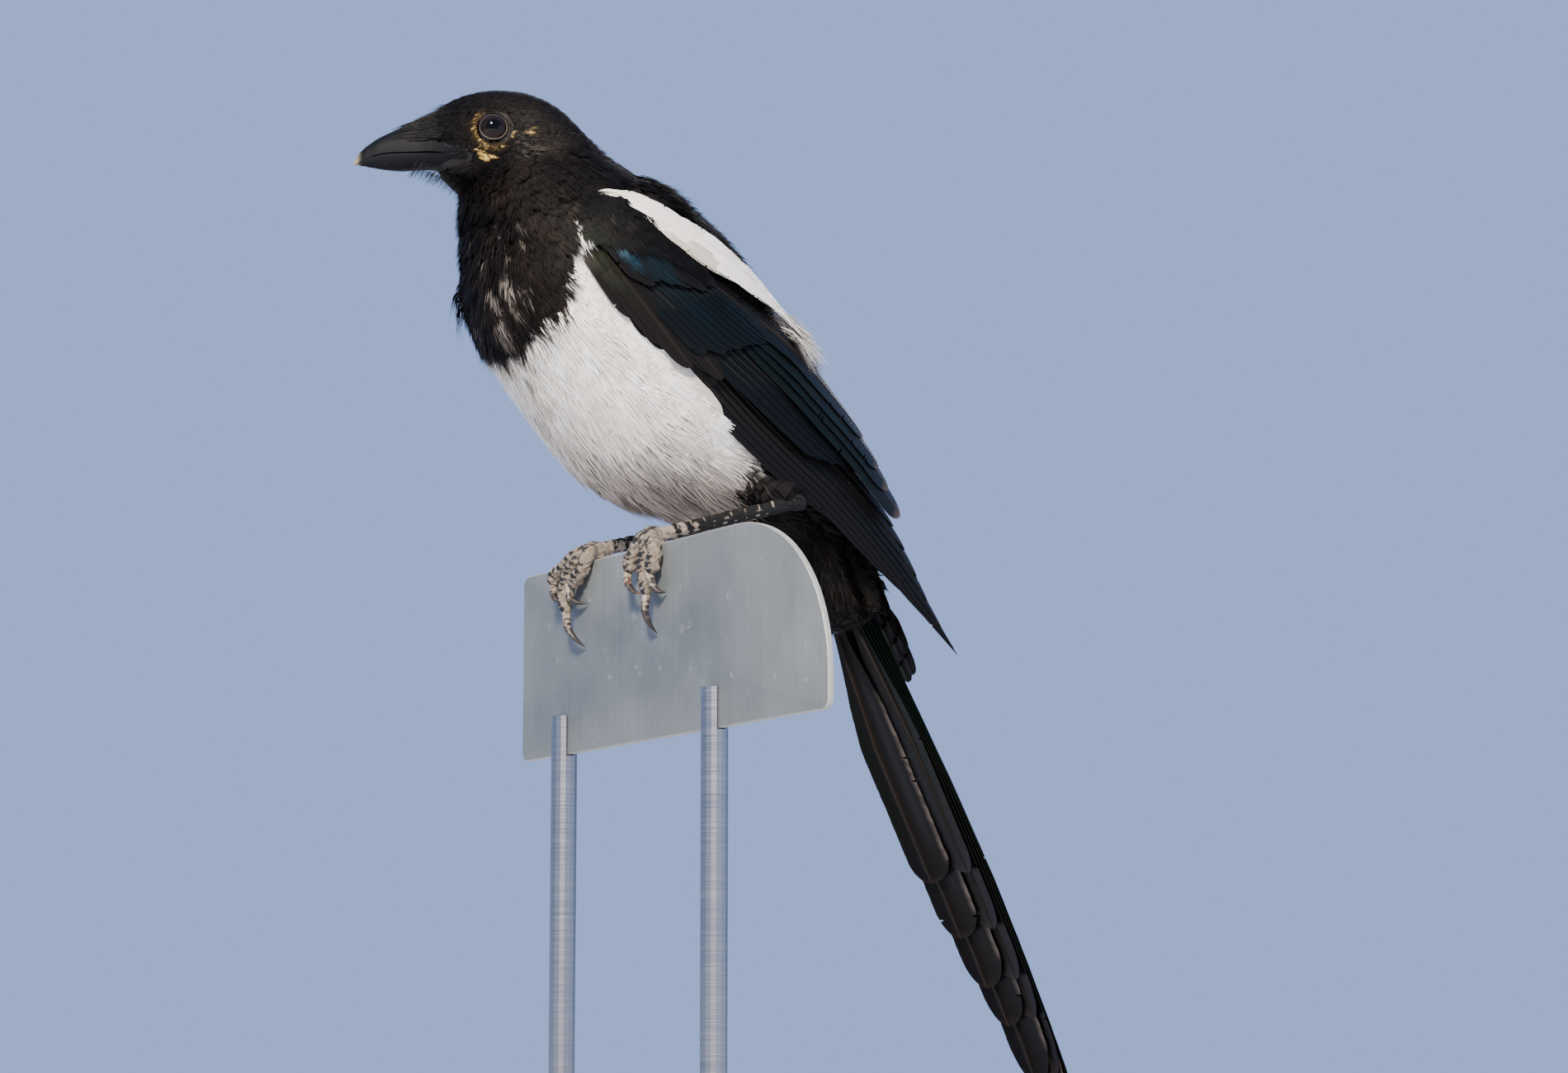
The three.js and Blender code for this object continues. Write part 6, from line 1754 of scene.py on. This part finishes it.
# Painted highlight and bare metal on the rounded cut edges of the sheet.
bare_edge_and_highlight = np.concatenate([np.repeat([0.15, 0.7, 0.85, 0.75, 0.75, 0.85, 0.7, 0.15], len(rings[0])), [0, 0]])
paint(panel, "edge", np.repeat(bare_edge_and_highlight[:, None], 3, 1))
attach(panel, "root")
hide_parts("perch_panel")

# Stand. Two round steel rods, slotted for the sheet at the top and let into a flat block of oiled oak.
# Their solids have the right shapes already, so they keep them and get their finishes here.
# Brushed steel: a long bright streak down each rod, broken by fine rings from its turning.
rod_finish, rod_tree, rod_surface = finish("brushed_steel_rod", 0.32, "#8d8f92", Metallic=1.0)
rod_lines = noise(rod_tree, stretched(rod_tree, place_of(rod_tree), (60, 60, 2600)), 1.0, 4.0)
rod_tree.links.new(ranged(rod_tree, rod_lines, 0, 1, 0.22, 0.5), rod_surface.inputs["Roughness"])
rod_tree.links.new(ramp(rod_tree, rod_lines, "#7d7f82", "#a4a6a9"), rod_surface.inputs["Base Color"])
bumped(rod_tree, rod_surface, rod_lines, 0.15, 0.0001)
# Oiled oak: a warm satin brown. Its rings show as lines 2 to 4 mm apart across the board, with 0.3 mm
# pores drawn along the grain.
oak_finish, oak_tree, oak_surface = finish("oiled_oak", 0.5)
oak_place = place_of(oak_tree)
oak_rings = noise(oak_tree, stretched(oak_tree, oak_place, (6, 90, 90)), 1.0, 3.0, distortion=1.2)
oak_wave = sums(oak_tree, "SINE", sums(oak_tree, "MULTIPLY", oak_rings, 30.0))
oak_tone = ramp(oak_tree, ranged(oak_tree, oak_wave, -1, 1, 0, 1), "#7c573a", "#98714c")
oak_pores = noise(oak_tree, stretched(oak_tree, oak_place, (130, 3200, 3200)), 1.0, 3.0)
oak_pore = ranged(oak_tree, oak_pores, 0.56, 0.7, 0, 0.75)
oak_tree.links.new(mixed(oak_tree, oak_pore, oak_tone, "#4a3021"), oak_surface.inputs["Base Color"])
bumped(oak_tree, oak_surface, oak_pore, 0.3, 0.0002, invert=True)
for node, material in (("stand_base", oak_finish), ("stand_rod_left", rod_finish),
                       ("stand_rod_right", rod_finish)):
    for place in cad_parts[node].material_slots:
        place.material = material

# Floor. A plain pale sheet of paper under the stand, wide enough to fade out round it.
# Matt paper: an even pale ground with a faint fibre that keeps it from looking flat.
paper_finish, paper_tree, paper_surface = finish("pale_paper", 0.9, "#dadee2")
paper_tone = ramp(paper_tree, noise(paper_tree, place_of(paper_tree), 900.0, 4.0), "#d6dbe0", "#dee2e6")
paper_tree.links.new(paper_tone, paper_surface.inputs["Base Color"])
floor_places = [(x, y, -0.0005) for x, y in ((-4, -3), (4, -3), (4, 4), (-4, 4))]
floor_mesh = bpy.data.meshes.new("floor")
floor_mesh.from_pydata(floor_places, [], [(0, 1, 2, 3)])
floor_mesh.materials.append(paper_finish)
floor = bpy.data.objects.new("floor", floor_mesh)
bpy.context.scene.collection.objects.link(floor)

# Lights. A warm key from the upper left as on the bird, a cool sky all round, and a low rim behind.
world = bpy.data.worlds.new("soft_sky")
world.use_nodes = True
world.node_tree.nodes["Background"].inputs["Color"].default_value = rgba("#a4bffb")
world.node_tree.nodes["Background"].inputs["Strength"].default_value = 0.975
bpy.context.scene.world = world


def lamp(name, place, energy, size, hex_colour, aim=(0.0, 0.0, 0.25)):
    data = bpy.data.lights.new(name, "AREA")
    data.energy, data.size, data.color = energy, size, tuple(linear(hex_colour))
    light = bpy.data.objects.new(name, data)
    light.location = place
    light.rotation_euler = (Vector(aim) - light.location).to_track_quat("-Z", "Y").to_euler()
    bpy.context.scene.collection.objects.link(light)


lamp("key", (-1.25, -1.35, 1.5), 125, 0.4, "#fff0da")
lamp("fill", (0.9, -1.6, 0.3), 7, 1.4, "#dfe9ff")
lamp("rim", (0.9, 1.3, 1.2), 16, 0.9, "#fff6ea")
